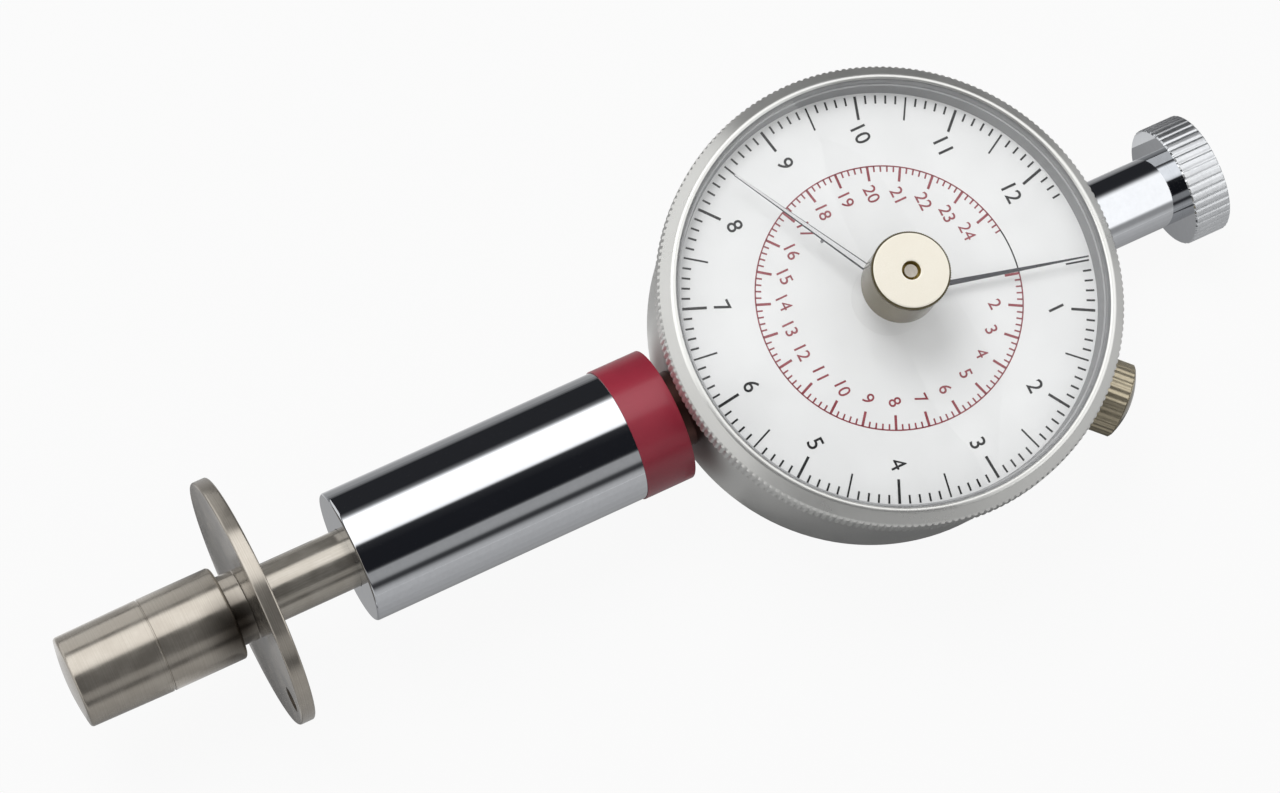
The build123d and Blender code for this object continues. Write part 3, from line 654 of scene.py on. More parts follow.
@dataclass(frozen=True)
class CrystalFinish:
    """Clear moulded acrylic, so thin that what is behind it looks unmoved, with a faint shine."""

    name: str = "clear moulded acrylic"
    colour: str = "#fdfdfd"
    index: float = 1.49
    unbent_index: float = 1.0
    shine_roughness: float = 0.02
    ripple_size: float = 14.0
    ripple_depth: float = 0.004

    def build(self) -> bpy.types.Material:
        """Build the material.

        Returns:
            The material, ready for any piece.
        """
        material, tree, surface = new_material(self.name)
        place = add_node(tree, "ShaderNodeTexCoord").outputs["Object"]
        ripple = add_node(tree, "ShaderNodeTexNoise", None,
                          {"Vector": place, "Scale": per_mm(self.ripple_size), "Detail": RIPPLE_DETAIL})
        bump = add_node(tree, "ShaderNodeBump", None,
                        {"Strength": 1.0, "Distance": self.ripple_depth * MM, "Height": ripple.outputs[0]})
        clear = add_node(tree, "ShaderNodeBsdfRefraction", None,
                         {"Color": linear(self.colour), "Roughness": 0.0, "IOR": self.unbent_index})
        shine = add_node(tree, "ShaderNodeBsdfGlossy", None,
                         {"Roughness": self.shine_roughness, "Normal": bump.outputs[0]})
        turned_away = add_node(tree, "ShaderNodeNewGeometry").outputs["Backfacing"]
        facing = add_node(tree, "ShaderNodeMath", {"operation": "SUBTRACT"}, {0: 1.0, 1: turned_away})
        mirror = add_node(tree, "ShaderNodeFresnel", None, {"IOR": self.index, "Normal": bump.outputs[0]})
        share = add_node(tree, "ShaderNodeMath", {"operation": "MULTIPLY"},
                         {0: mirror.outputs[0], 1: facing.outputs[0]})
        seen = add_node(tree, "ShaderNodeMixShader", None,
                        {0: share.outputs[0], 1: clear.outputs[0], 2: shine.outputs[0]})
        through = add_node(tree, "ShaderNodeBsdfTransparent")
        path = add_node(tree, "ShaderNodeLightPath")
        mixed = add_node(tree, "ShaderNodeMixShader", None,
                         {0: path.outputs["Is Shadow Ray"], 1: seen.outputs[0], 2: through.outputs[0]})
        tree.links.new(mixed.outputs[0], surface)
        return material


class Finishes:
    """All the finishes of the tester, built once."""

    def __init__(self) -> None:
        """Build every material."""
        # Bright chrome plate on steel: a mirror, with only a faint haze of fingerprints.
        self.chrome = MetalFinish(
            "bright chrome plate", "#cbcdd0", "#c6c8cb", roughness=(0.03, 0.06),
            grain=Grain.BLASTED, grain_width=0.6, grain_depth=0.0001, haze_size=11.0).build()
        # The same plate on a fluted rim, dulled by many hands.
        self.chrome_worn = MetalFinish(
            "worn chrome plate", "#d8dadc", "#ced0d2", roughness=(0.4, 0.48),
            grain=Grain.BLASTED, grain_width=0.5, grain_depth=0.0002, haze_size=5.0).build()
        # Satin chrome on a die-cast case: an even soft sheen, blasted before it was plated.
        # The blast marks are really near 0.05 mm and are drawn coarser so that they show.
        # Near the barrel's neck it is painted dark reddish brown: painted shade and a painted reflection of
        # the band.
        self.satin_case = MetalFinish(
            "satin chrome casting", "#d9d9d6", "#cfcfcc", roughness=(0.36, 0.44),
            grain=Grain.BLASTED, grain_width=0.14, grain_depth=0.002, metallic=0.85,
            corner_colour="#5f423c").build()
        # Satin chrome on a turned ring: fine rings about the dial.
        self.satin_ring = MetalFinish(
            "satin chrome turned ring", "#dededb", "#d3d3d0", roughness=(0.27, 0.34),
            grain=Grain.TURNED_DIAL, grain_width=0.11, grain_depth=0.0012, metallic=0.72).build()
        # The same satin chrome inside the ring, painted darker: painted shade where little light comes.
        self.satin_window = MetalFinish(
            "satin chrome window wall, painted shade", "#9a9b9c", "#8d8e8f", roughness=(0.5, 0.58),
            grain=Grain.TURNED_DIAL, grain_width=0.11, grain_depth=0.0012, metallic=0.4).build()
        # Champagne nickel on brass: warm pale metal, faced on top, polished and painted darker at the side.
        self.champagne_face = MetalFinish(
            "champagne nickel faced top", "#ece7da", "#e5dfd0", roughness=(0.3, 0.38),
            grain=Grain.BLASTED, grain_width=0.12, grain_depth=0.0004, metallic=0.5).build()
        # The side's dark copy, also on the lock screw's end, is painted shade.
        self.champagne_dial = MetalFinish(
            "champagne nickel turned knob, painted shade", "#776d56", "#6b624c", roughness=(0.12, 0.2),
            grain=Grain.TURNED_DIAL, grain_width=0.16, grain_depth=0.0005, metallic=0.85).build()
        self.champagne_lock = MetalFinish(
            "champagne nickel fluted knob", "#b8ae98", "#aaa18a", roughness=(0.34, 0.42),
            grain=Grain.BLASTED, grain_width=0.3, grain_depth=0.0004, metallic=0.9).build()
        # The same nickel in the knurl, dull and painted olive brown: painted shade in the grooves.
        self.champagne_dull = MetalFinish(
            "champagne nickel, painted shade in the knurl", "#544b2c", "#453d22", roughness=(0.45, 0.55),
            grain=Grain.BLASTED, grain_width=0.1, grain_depth=0.001, metallic=0.35).build()
        # The same nickel inside the small hole, painted a bright gold: painted light in the deep hole.
        self.champagne_hole = MetalFinish(
            "champagne nickel, painted light in the hole", "#c2ab62", "#b09950", roughness=(0.35, 0.45),
            grain=Grain.BLASTED, grain_width=0.1, grain_depth=0.001, metallic=0.35).build()
        # Turned stainless steel: warm grey, lathe rings, small dark specks, painted shade and reflections
        # by the hub.
        self.stainless_turned = MetalFinish(
            "turned stainless steel", "#b8b2a8", "#a59e94", roughness=(0.14, 0.24),
            grain=Grain.TURNED_TOOL, grain_width=0.12, grain_depth=0.0012, metallic=0.7, haze_size=3.0,
            speck_spacing=3.4, speck_size=0.13, corner_colour="#332c24", corner_place=HUB_SHADE_PLACE,
            corner_reach=HUB_SHADE_REACH).build()
        # The same steel on the wall of the drain hole, painted dark: painted shade in the hole.
        self.stainless_oiled = MetalFinish(
            "stainless steel painted dark in the drain hole", "#4a4136", "#3d352b", roughness=(0.4, 0.5),
            grain=Grain.BLASTED, grain_width=0.1, grain_depth=0.001, metallic=0.5).build()
        # Drawn stainless rod: the same warm grey with fine lines along it.
        self.stainless_drawn = MetalFinish(
            "drawn stainless steel", "#b7b2a9", "#a39d93", roughness=(0.14, 0.24),
            grain=Grain.DRAWN, grain_width=0.14, grain_depth=0.0015, metallic=0.7, haze_size=3.0).build()
        # Plain turned and drawn steels and machined brass inside the tester: dull, with fine tool marks.
        self.screw_steel = MetalFinish(
            "turned screw steel", "#a9a9a9", "#858585", roughness=(0.25, 0.38),
            grain=Grain.BLASTED, grain_width=0.15, grain_depth=0.002).build()
        self.spring_steel = MetalFinish(
            "drawn spring steel", "#8f9093", "#6c6d70", roughness=(0.22, 0.34),
            grain=Grain.BLASTED, grain_width=0.1, grain_depth=0.002).build()
        self.brass = MetalFinish(
            "machined brass", "#d2b470", "#a98947", roughness=(0.22, 0.36),
            grain=Grain.BLASTED, grain_width=0.18, grain_depth=0.002).build()
        # Pointer steels: one lightly polished and painted dark grey, a painted dark reflection; one left
        # bright.
        self.pointer_dark = MetalFinish(
            "pointer steel painted dark", "#5a5b5f", "#434448", roughness=(0.22, 0.3),
            grain=Grain.BLASTED, grain_width=0.12, grain_depth=0.001).build()
        self.pointer_bright = MetalFinish(
            "polished pointer steel", "#e3e4e4", "#d6d7d8", roughness=(0.1, 0.18),
            grain=Grain.BLASTED, grain_width=0.15, grain_depth=0.0005, metallic=0.9).build()
        # Burgundy printed film: a thin semi-gloss wrap.
        self.red_film = PlainFinish(
            "burgundy printed film", "#9c2439", "#8f2034", roughness=0.4, texture_size=0.25,
            texture_depth=0.002, coat=0.3).build()
        # White baked paint on the dial sheet: matt, very slightly uneven.
        self.dial_paint = PlainFinish(
            "white baked dial paint", "#d6d7d7", "#d2d3d3", roughness=0.5, texture_size=0.12,
            texture_depth=0.0015).build()
        # Screen-printed inks: matt, with small differences in thickness.
        self.black_ink = PlainFinish(
            "black screen ink", "#0c0c0e", "#161618", roughness=0.55, texture_size=0.08,
            texture_depth=0.001, mottle_size=0.8).build()
        self.red_ink = PlainFinish(
            "dark red screen ink", "#7f323b", "#8a3d46", roughness=0.55, texture_size=0.08,
            texture_depth=0.001, mottle_size=0.8).build()
        # Grey silicone and natural nylon: soft and matt, with no grain.
        self.rubber = PlainFinish(
            "grey silicone rubber", "#999a9b", "#a1a2a3", roughness=0.6, texture_size=0.1,
            texture_depth=0.004).build()
        self.washer_plastic = PlainFinish(
            "natural nylon sheet", "#d6d5cd", "#cbcac1", roughness=0.45, texture_size=0.15,
            texture_depth=0.002).build()
        # Clear acrylic: unseen but for the reflections on it.
        self.crystal = CrystalFinish().build()


# The tester's parts

@dataclass
class Barrel:
    """The bright tube that holds the main spring, with the plain red band round its rear end."""

    finishes: Finishes
    bore: float = 6.3
    mouth: float = 3.56
    end_wall: float = 1.2
    mouth_rounding: float = 0.05
    front_rounding: float = 0.35
    front_segments: int = 8
    rear_rounding: float = 0.25
    band_inner: float = 7.9
    band_rounding: float = 0.04

    def build(self) -> None:
        """Build the tube and the band."""
        front, rear = span("barrel", ALONG)
        radius = outer_radius("barrel")
        tube = turned([
            Corner(rear, self.bore),
            Corner(rear, radius, self.rear_rounding),
            Corner(front, radius, self.front_rounding, self.front_segments),
            Corner(front, self.mouth, self.mouth_rounding, FEW_SEGMENTS),
            Corner(front + self.end_wall, self.mouth),
            Corner(front + self.end_wall, self.bore),
        ], closed=True)
        make_piece("barrel_tube", tube, TOOL_AXIS, self.finishes.chrome, "case", "chrome", "barrel")
        front, rear = span("red_band", ALONG)
        band = turned_ring(front, rear, self.band_inner, outer_radius("red_band"), self.band_rounding)
        make_piece("barrel_red_band", band, TOOL_AXIS, self.finishes.red_film, "case", "red_film",
                   "red_band")


@dataclass
class MainSpring:
    """The coil spring round the plunger, which shortens as the plunger goes in."""

    finishes: Finishes
    mean_radius: float = 4.9
    wire_radius: float = 0.6
    turns: float = 9.5
    steps_each: int = 28
    wire_sides: int = 12
    travel: float = 10.4

    def build(self) -> None:
        """Wind the wire."""
        front, rear = span("main_spring", ALONG)
        steps = int(self.turns * self.steps_each)
        rise = rear - front - 2.0 * self.wire_radius
        wire = bmesh.new()
        start = Matrix.Translation((self.mean_radius, 0.0, front + self.wire_radius))
        bmesh.ops.create_circle(wire, cap_ends=False, segments=self.wire_sides, radius=self.wire_radius,
                                matrix=start @ Matrix.Rotation(math.pi / 2.0, 4, "X"))
        bmesh.ops.spin(wire, geom=wire.verts[:] + wire.edges[:], cent=(0.0, 0.0, 0.0), axis=(0.0, 0.0, 1.0),
                       dvec=(0.0, 0.0, rise / steps), angle=self.turns * FULL_TURN, steps=steps)
        open_edges = [edge for edge in wire.edges if edge.is_boundary]
        bmesh.ops.holes_fill(wire, edges=open_edges, sides=0)
        bmesh.ops.recalc_face_normals(wire, faces=wire.faces[:])
        spring = make_piece("main_spring_coil", wire, TOOL_AXIS, self.finishes.spring_steel, "case",
                            "spring_steel", "main_spring")
        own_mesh(spring)


@dataclass
class Plunger:
    """The rod, the guard disc and the domed tip that go in together."""

    finishes: Finishes
    rod_radius: float = 3.5
    rod_rounding: float = 0.3
    rod_steps: int = 96
    stub_radius: float = 2.5
    stub_rounding: float = 0.2
    disc_rear: float = -78.6
    disc_front: float = -80.4
    disc_rounding: float = 0.25
    hub_radius: float = 4.2
    hub_rounding: float = 0.15
    drain_radius: float = 1.3
    drain_place: Tuple[float, float] = (2.15, 12.21)
    drain_sink: float = 0.24
    drain_flare: float = 0.12
    drain_rounding: float = 0.05
    drain_steps: int = 40
    front_slope: float = -0.9
    tip_edge: float = -101.4
    tip_edge_radius: float = 5.4
    tip_edge_rounding: float = 0.3
    tip_edge_segments: int = 6
    tip_chamfer: float = 0.25
    tip_chamfer_rounding: float = 0.12
    dome_share: float = 0.9
    dome_segments: int = 10
    line_place: float = -91.4
    line_width: float = 0.2
    line_depth: float = 0.15
    line_floor: float = 0.6
    line_rounding: float = 0.04

    def build(self) -> None:
        """Build the rod, the disc and the tip."""
        self.build_rod()
        self.build_disc()
        self.build_tip()

    def build_rod(self) -> None:
        """Turn the rod with the stub that carries the disc and the tip."""
        front, rear = span("plunger_rod", ALONG)
        rod = turned([
            Corner(front, 0.0),
            Corner(front, self.stub_radius, self.stub_rounding),
            Corner(self.disc_rear, self.stub_radius),
            Corner(self.disc_rear, self.rod_radius),
            Corner(rear, self.rod_radius, self.rod_rounding),
            Corner(rear, 0.0),
        ], steps=self.rod_steps)
        make_piece("plunger_rod_bar", rod, TOOL_AXIS, self.finishes.stainless_drawn, "plunger", "stainless",
                   "plunger_rod")

    def build_disc(self) -> None:
        """Turn the disc with its hub and drill the drain hole near its rim."""
        hub_end, rear = span("guard_disc", ALONG)
        radius = outer_radius("guard_disc")
        disc = turned([
            Corner(rear, self.stub_radius),
            Corner(rear, radius, self.disc_rounding),
            Corner(self.disc_front, radius, self.disc_rounding),
            Corner(self.disc_front, self.hub_radius, self.hub_rounding),
            Corner(hub_end, self.hub_radius, self.hub_rounding),
            Corner(hub_end, self.stub_radius),
        ], closed=True)
        sink = self.drain_sink
        flare = self.drain_flare
        drill = turned([
            Corner(self.disc_front - sink, 0.0),
            Corner(self.disc_front - sink, self.drain_radius + 2.0 * sink),
            Corner(self.disc_front + sink, self.drain_radius, self.drain_rounding),
            Corner(rear - flare, self.drain_radius, self.drain_rounding),
            Corner(rear + flare, self.drain_radius + 2.0 * flare),
            Corner(rear + flare, 0.0),
        ], steps=self.drain_steps)
        drill.transform(Matrix.Translation((*self.drain_place, 0.0)))
        # The disc's steel carries painted shade and reflections beside the hub.
        piece = make_piece("guard_disc_plate", drilled(disc, drill), TOOL_AXIS,
                           self.finishes.stainless_turned, "plunger", "stainless", "guard_disc")
        hole = TOOL_AXIS.matrix() @ Vector((*self.drain_place, self.disc_front)) / MM
        wall = self.drain_radius + sink
        # The drain hole's wall is painted dark: painted shade.
        refinish(piece, self.finishes.stainless_oiled,
                 lambda centre, normal: (centre.xz - hole.xz).length < wall and normal.y > self.front_slope)

    def build_tip(self) -> None:
        """Turn the domed tip with its depth line."""
        apex, rear = span("indenter_tip", ALONG)
        radius = outer_radius("indenter_tip")
        half = self.line_width / 2.0
        floor = half * self.line_floor
        dome = self.tip_edge_radius / 2.0
        tip = turned([
            Corner(rear, 0.0),
            Corner(rear, radius - self.tip_chamfer, self.tip_chamfer_rounding),
            Corner(rear - self.tip_chamfer, radius, self.tip_chamfer_rounding),
            Corner(self.line_place + half, radius, self.line_rounding, FEW_SEGMENTS),
            Corner(self.line_place + floor, radius - self.line_depth),
            Corner(self.line_place - floor, radius - self.line_depth),
            Corner(self.line_place - half, radius, self.line_rounding, FEW_SEGMENTS),
            Corner(self.tip_edge, self.tip_edge_radius, self.tip_edge_rounding, self.tip_edge_segments),
            Corner(apex, dome, dome * self.dome_share, self.dome_segments),
            Corner(apex, 0.0),
        ])
        make_piece("indenter_tip_domed", tip, TOOL_AXIS, self.finishes.stainless_turned, "plunger",
                   "stainless", "indenter_tip")


@dataclass
class TopKnob:
    """The bright stem above the case and the fluted knob screwed into it."""

    finishes: Finishes
    screw_radius: float = 2.5
    screw_rounding: float = 0.2
    screw_sunk: float = 0.5
    screw_steps: int = 48
    bore_radius: float = 2.55
    guide_radius: float = 3.1
    shoulder: float = 24.65
    shoulder_rounding: float = 0.1
    stem_steps: int = 96
    chamfer: float = 0.16
    seam: float = 0.005
    face_slope: float = -0.5
    flutes: Flutes = Flutes(count=45, depth=0.13,
                            shape=(1.0, 0.7, 0.15, 0.0, 0.0, 0.0, 0.0, 0.0, 0.15, 0.7))

    def build(self) -> None:
        """Build the bored stem, in which the rack rod runs, the washer and the knob."""
        washer_low, washer_high = span("knob_washer", ALONG)
        low = span("top_stem", ALONG)[0]
        high = washer_low - self.seam
        face = washer_high + self.seam
        radius = outer_radius("top_stem")
        stem = turned([
            Corner(low, self.bore_radius),
            Corner(low, self.guide_radius),
            Corner(self.shoulder, self.guide_radius),
            Corner(self.shoulder, radius, self.shoulder_rounding),
            Corner(high, radius),
            Corner(high, self.bore_radius),
        ], closed=True, steps=self.stem_steps)
        make_piece("top_stem_post", stem, TOOL_AXIS, self.finishes.chrome, "case", "chrome", "top_stem")
        washer = turned_ring(washer_low, washer_high, self.bore_radius, radius, steps=self.stem_steps)
        make_piece("knob_washer_ring", washer, TOOL_AXIS, self.finishes.chrome, "knob_washer", "chrome",
                   "knob_washer")
        screw_end, high = span("top_knob", ALONG)
        radius = outer_radius("top_knob")
        head = fluted_solid(radius, self.flutes, [
            (face, self.chamfer),
            (face + self.chamfer, 0.0),
            (high - self.chamfer, 0.0),
            (high, self.chamfer),
        ])
        screw = turned_pin(screw_end, face + self.screw_sunk, self.screw_radius, self.screw_rounding,
                           self.screw_steps)
        piece = make_piece("top_knob_head", joined(head, screw), TOOL_AXIS, self.finishes.chrome,
                           "top_knob", "chrome", "top_knob")
        refinish(piece, self.finishes.chrome_worn,
                 lambda centre, normal: normal.y > self.face_slope and centre.y > face)


@dataclass
class Bezel:
    """The satin ring that holds the crystal, finely knurled round its outermost edge."""

    finishes: Finishes
    cavity: float = 25.15
    body_radius: float = 26.86
    base_rounding: float = 0.05
    knurl_foot: float = 0.02
    knurl_foot_inset: float = 0.22
    knurl_start: float = 0.25
    knurl_top: float = 20.4
    knurl_sunk: float = 0.3
    shoulder: float = 20.71
    ridge_outer: float = 25.7
    ridge_inner: float = 25.18
    ridge_rounding: float = 0.22
    ridge_segments: int = 6
    lip_radius: float = 25.03
    lip_top: float = 21.6
    window_radius: float = 24.4
    ring_steps: int = 240
    side_slope: float = 0.3
    knurl: Flutes = Flutes(count=216, depth=0.13, shape=(0.0, 0.0, 0.0, 0.5, 1.0, 0.5))

    def build(self) -> None:
        """Turn the ring and add its knurled band."""
        bottom, ridge_top = span("bezel", UP)
        radius = outer_radius("bezel")
        ring = turned([
            Corner(bottom, self.cavity),
            Corner(bottom, self.body_radius, self.base_rounding),
            Corner(self.shoulder, self.body_radius),
            Corner(ridge_top, self.ridge_outer, self.ridge_rounding, self.ridge_segments),
            Corner(ridge_top, self.ridge_inner, self.ridge_rounding, self.ridge_segments),
            Corner(self.lip_top, self.lip_radius),
            Corner(DIAL_HEIGHT, self.window_radius),
            Corner(DIAL_HEIGHT, self.cavity),
        ], closed=True, steps=self.ring_steps)
        band = fluted_band(radius, self.body_radius - self.knurl_sunk, self.knurl, [
            (bottom + self.knurl_foot, self.knurl_foot_inset),
            (bottom + self.knurl_start, 0.0),
            (self.knurl_top, 0.0),
            (self.shoulder, radius - self.body_radius),
        ])
        piece = make_piece("bezel_ring", joined(ring, band), DIAL_AXIS, self.finishes.satin_ring, "bezel",
                           "satin_case", "bezel")
        # The window wall is painted darker: painted shade.
        refinish(piece, self.finishes.satin_window, self.is_window_wall)
        refinish(piece, self.finishes.satin_case, self.is_knurled_side)

    def is_window_wall(self, centre: Vector, normal: Vector) -> bool:
        """Tell whether a face is on the ring's inner wall, which looks at the dial's axis."""
        return centre.xy.length < self.ridge_inner and normal.xy.dot(centre.xy) < 0.0

    def is_knurled_side(self, centre: Vector, normal: Vector) -> bool:
        """Tell whether a face is on the knurled side."""
        return centre.xy.length > self.body_radius and abs(normal.z) < self.side_slope


@dataclass
class Crystal:
    """The clear dome over the dial, with a hole for the reset knob's bush, and the seal under its edge."""

    finishes: Finishes
    hole: float = 2.2
    thickness: float = 0.7
    flat_radius: float = 17.0
    flat_drop: float = 0.55
    edge_radius: float = 25.02
    edge_height: float = 21.58
    inner_edge_radius: float = 24.84
    inner_edge_height: float = 20.98
    curve_steps: int = 12
    rim_slope: float = 0.5
    seal_width: float = 0.22
    seal_thickness: float = 0.14
    seal_gap: float = 0.02

    def curve(self, top: float, edge_radius: float, edge_height: float) -> List[Corner]:
        """Give one side of the dome in section, nearly flat in the middle and bent down to its edge.

        Args:
            top: its height at the dial's axis.
            edge_radius: where it ends.
            edge_height: how high it ends.

        Returns:
            Its corners from the hole outwards.
        """
        sphere = (self.flat_radius ** 2 + self.flat_drop ** 2) / (2.0 * self.flat_drop)
        slope = self.flat_radius / sphere
        run = edge_radius - self.flat_radius
        bend = (top - self.flat_drop - edge_height - slope * run) / run ** 2
        corners = []
        for step in range(self.curve_steps + 1):
            radius = self.hole + (edge_radius - self.hole) * step / self.curve_steps
            beyond = max(radius - self.flat_radius, 0.0)
            inside = min(radius, self.flat_radius)
            fall = sphere - math.sqrt(sphere ** 2 - inside ** 2) + slope * beyond + bend * beyond ** 2
            corners.append(Corner(top - fall, radius))
        return corners

    def build(self) -> None:
        """Turn the dome and its seal."""
        top = span("crystal", UP)[1]
        outer = self.curve(top, self.edge_radius, self.edge_height)
        inner = self.curve(top - self.thickness, self.inner_edge_radius, self.inner_edge_height)
        dome = turned(outer + inner[::-1], closed=True)
        piece = make_piece("crystal_dome", dome, DIAL_AXIS, self.finishes.crystal, "bezel", "crystal_clear",
                           "crystal")
        edge = self.inner_edge_radius
        # The crystal's rim takes the window wall's painted shade.
        refinish(piece, self.finishes.satin_window,
                 lambda centre, normal: centre.xy.length > edge and abs(normal.z) < self.rim_slope)
        high = self.inner_edge_height - self.seal_gap
        seal = turned_ring(high - self.seal_thickness, high, edge - self.seal_width, edge - self.seal_gap)
        make_piece("crystal_seal", seal, DIAL_AXIS, self.finishes.rubber, "bezel", "gasket_rubber",
                   "crystal_gasket")


@dataclass
class Dial:
    """The printing on the dial: a black scale, a red scale with its ring, and their plain numbers."""

    finishes: Finishes
    print_turn: float = 0.86
    ink_thickness: float = 0.02
    first_step: int = 5
    end_step: int = 124
    black_unit: float = 28.8
    black_steps: int = 10
    black_outer: float = 24.1
    black_long: float = 21.27
    black_short: float = 23.1
    black_whole_width: float = 0.32
    black_half_width: float = 0.21
    black_short_width: float = 0.23
    black_numbers: float = 19.5
    black_height: float = 1.9
    red_unit: float = 14.4
    red_steps: int = 5
    red_end: float = 24.6
    red_ring: float = 15.6
    red_ring_width: float = 0.16
    red_long: float = 13.85
    red_short: float = 14.9
    red_whole_width: float = 0.3
    red_short_width: float = 0.19
    red_numbers: float = 12.3
    red_height: float = 1.5
    digit_narrowing: float = 0.98
    digit_weight: float = 0.007
    digit_half_depth: float = 0.5
    digit_curve_steps: int = 4

    def place(self, angle: float, radius: float) -> Matrix:
        """Give the place on the dial at a clockwise angle in degrees and a radius, turned outwards."""
        turn = Matrix.Rotation(math.radians(self.print_turn - angle), 4, "Z")
        return turn @ Matrix.Translation((0.0, radius, DIAL_HEIGHT + self.ink_thickness / 2.0))

    def tick(self, shape: bmesh.types.BMesh, angle: float, inner: float, outer: float,
             width: float) -> None:
        """Print one tick.

        Args:
            shape: the mesh that takes it.
            angle: degrees clockwise from zero.
            inner: its inner radius.
            outer: its outer radius.
            width: its width.
        """
        size = Matrix.Diagonal((width, outer - inner, self.ink_thickness, 1.0))
        bmesh.ops.create_cube(shape, size=1.0, matrix=self.place(angle, (inner + outer) / 2.0) @ size)

    def number(self, shape: bmesh.types.BMesh, value: int, angle: float, radius: float,
               height: float) -> None:
        """Print one number upright on the dial.

        Args:
            shape: the mesh that takes it.
            value: the number.
            angle: degrees clockwise from zero.
            radius: the radius of its centre.
            height: the height of its digits.
        """
        text = bpy.data.curves.new("number", "FONT")
        text.body = str(value)
        text.extrude = self.digit_half_depth
        # A thickened 4 fills up inside, so that figure keeps its own weight.
        text.offset = 0.0 if "4" in text.body else self.digit_weight
        text.resolution_u = self.digit_curve_steps
        item = bpy.data.objects.new("number", text)
        bpy.context.scene.collection.objects.link(item)
        mesh = as_mesh(item)
        bpy.data.curves.remove(text)
        low = Vector([min(vert.co[axis] for vert in mesh.vertices) for axis in range(3)])
        high = Vector([max(vert.co[axis] for vert in mesh.vertices) for axis in range(3)])
        scale = height / (high.y - low.y)
        size = Matrix.Diagonal((scale * self.digit_narrowing, scale, self.ink_thickness, 1.0))
        centre = self.place(angle, radius).translation
        upright = Matrix.Rotation(math.radians(self.print_turn), 4, "Z")
        to_origin = Matrix.Translation(-(low + high) / 2.0)
        mesh.transform(Matrix.Translation(centre) @ upright @ size @ to_origin)
        shape.from_mesh(mesh)
        bpy.data.meshes.remove(mesh)

    def arc(self, shape: bmesh.types.BMesh, start: float, end: float) -> None:
        """Print a part of the ring.

        Args:
            shape: the mesh that takes it.
            start: where it starts, in degrees clockwise from zero.
            end: where it ends.
        """
        ring = bmesh.new()
        inner = self.red_ring - self.red_ring_width / 2.0
        outer = self.red_ring + self.red_ring_width / 2.0
        low = DIAL_HEIGHT
        high = DIAL_HEIGHT + self.ink_thickness
        outline = ((inner, low), (outer, low), (outer, high), (inner, high))
        points = [ring.verts.new((0.0, radius, height)) for radius, height in outline]
        ring.faces.new(points)
        bmesh.ops.rotate(ring, cent=(0.0, 0.0, 0.0), verts=points,
                         matrix=Matrix.Rotation(math.radians(self.print_turn - start), 3, "Z"))
        bmesh.ops.spin(ring, geom=ring.verts[:] + ring.edges[:] + ring.faces[:], cent=(0.0, 0.0, 0.0),
                       axis=(0.0, 0.0, 1.0), angle=-math.radians(end - start), steps=int(end - start))
        bmesh.ops.recalc_face_normals(ring, faces=ring.faces[:])
        joined(shape, ring)

    def build(self) -> None:
        """Print both scales."""
        black = bmesh.new()
        for step in range(self.first_step, self.end_step):
            angle = step * self.black_unit / self.black_steps
            if step % self.black_steps == 0:
                self.tick(black, angle, self.black_long, self.black_outer, self.black_whole_width)
                self.number(black, step // self.black_steps, angle, self.black_numbers, self.black_height)
            elif step % (self.black_steps // 2) == 0:
                self.tick(black, angle, self.black_long, self.black_outer, self.black_half_width)
            else:
                self.tick(black, angle, self.black_short, self.black_outer, self.black_short_width)
        red_start = self.red_unit
        red_end = self.red_end * self.red_unit
        self.arc(black, red_end, 360.0 + red_start)
        make_piece("dial_black_printing", black, DIAL_AXIS, self.finishes.black_ink, "bezel", "dial_white")
        red = bmesh.new()
        self.arc(red, red_start, red_end)
        for step in range(self.first_step, self.end_step):
            angle = step * self.red_unit / self.red_steps
            if step % self.red_steps == 0:
                self.tick(red, angle, self.red_long, self.red_ring, self.red_whole_width)
                if step > self.first_step:
                    self.number(red, step // self.red_steps, angle, self.red_numbers, self.red_height)
            else:
                self.tick(red, angle, self.red_short, self.red_ring, self.red_short_width)
        make_piece("dial_red_printing", red, DIAL_AXIS, self.finishes.red_ink, "bezel", "dial_white")


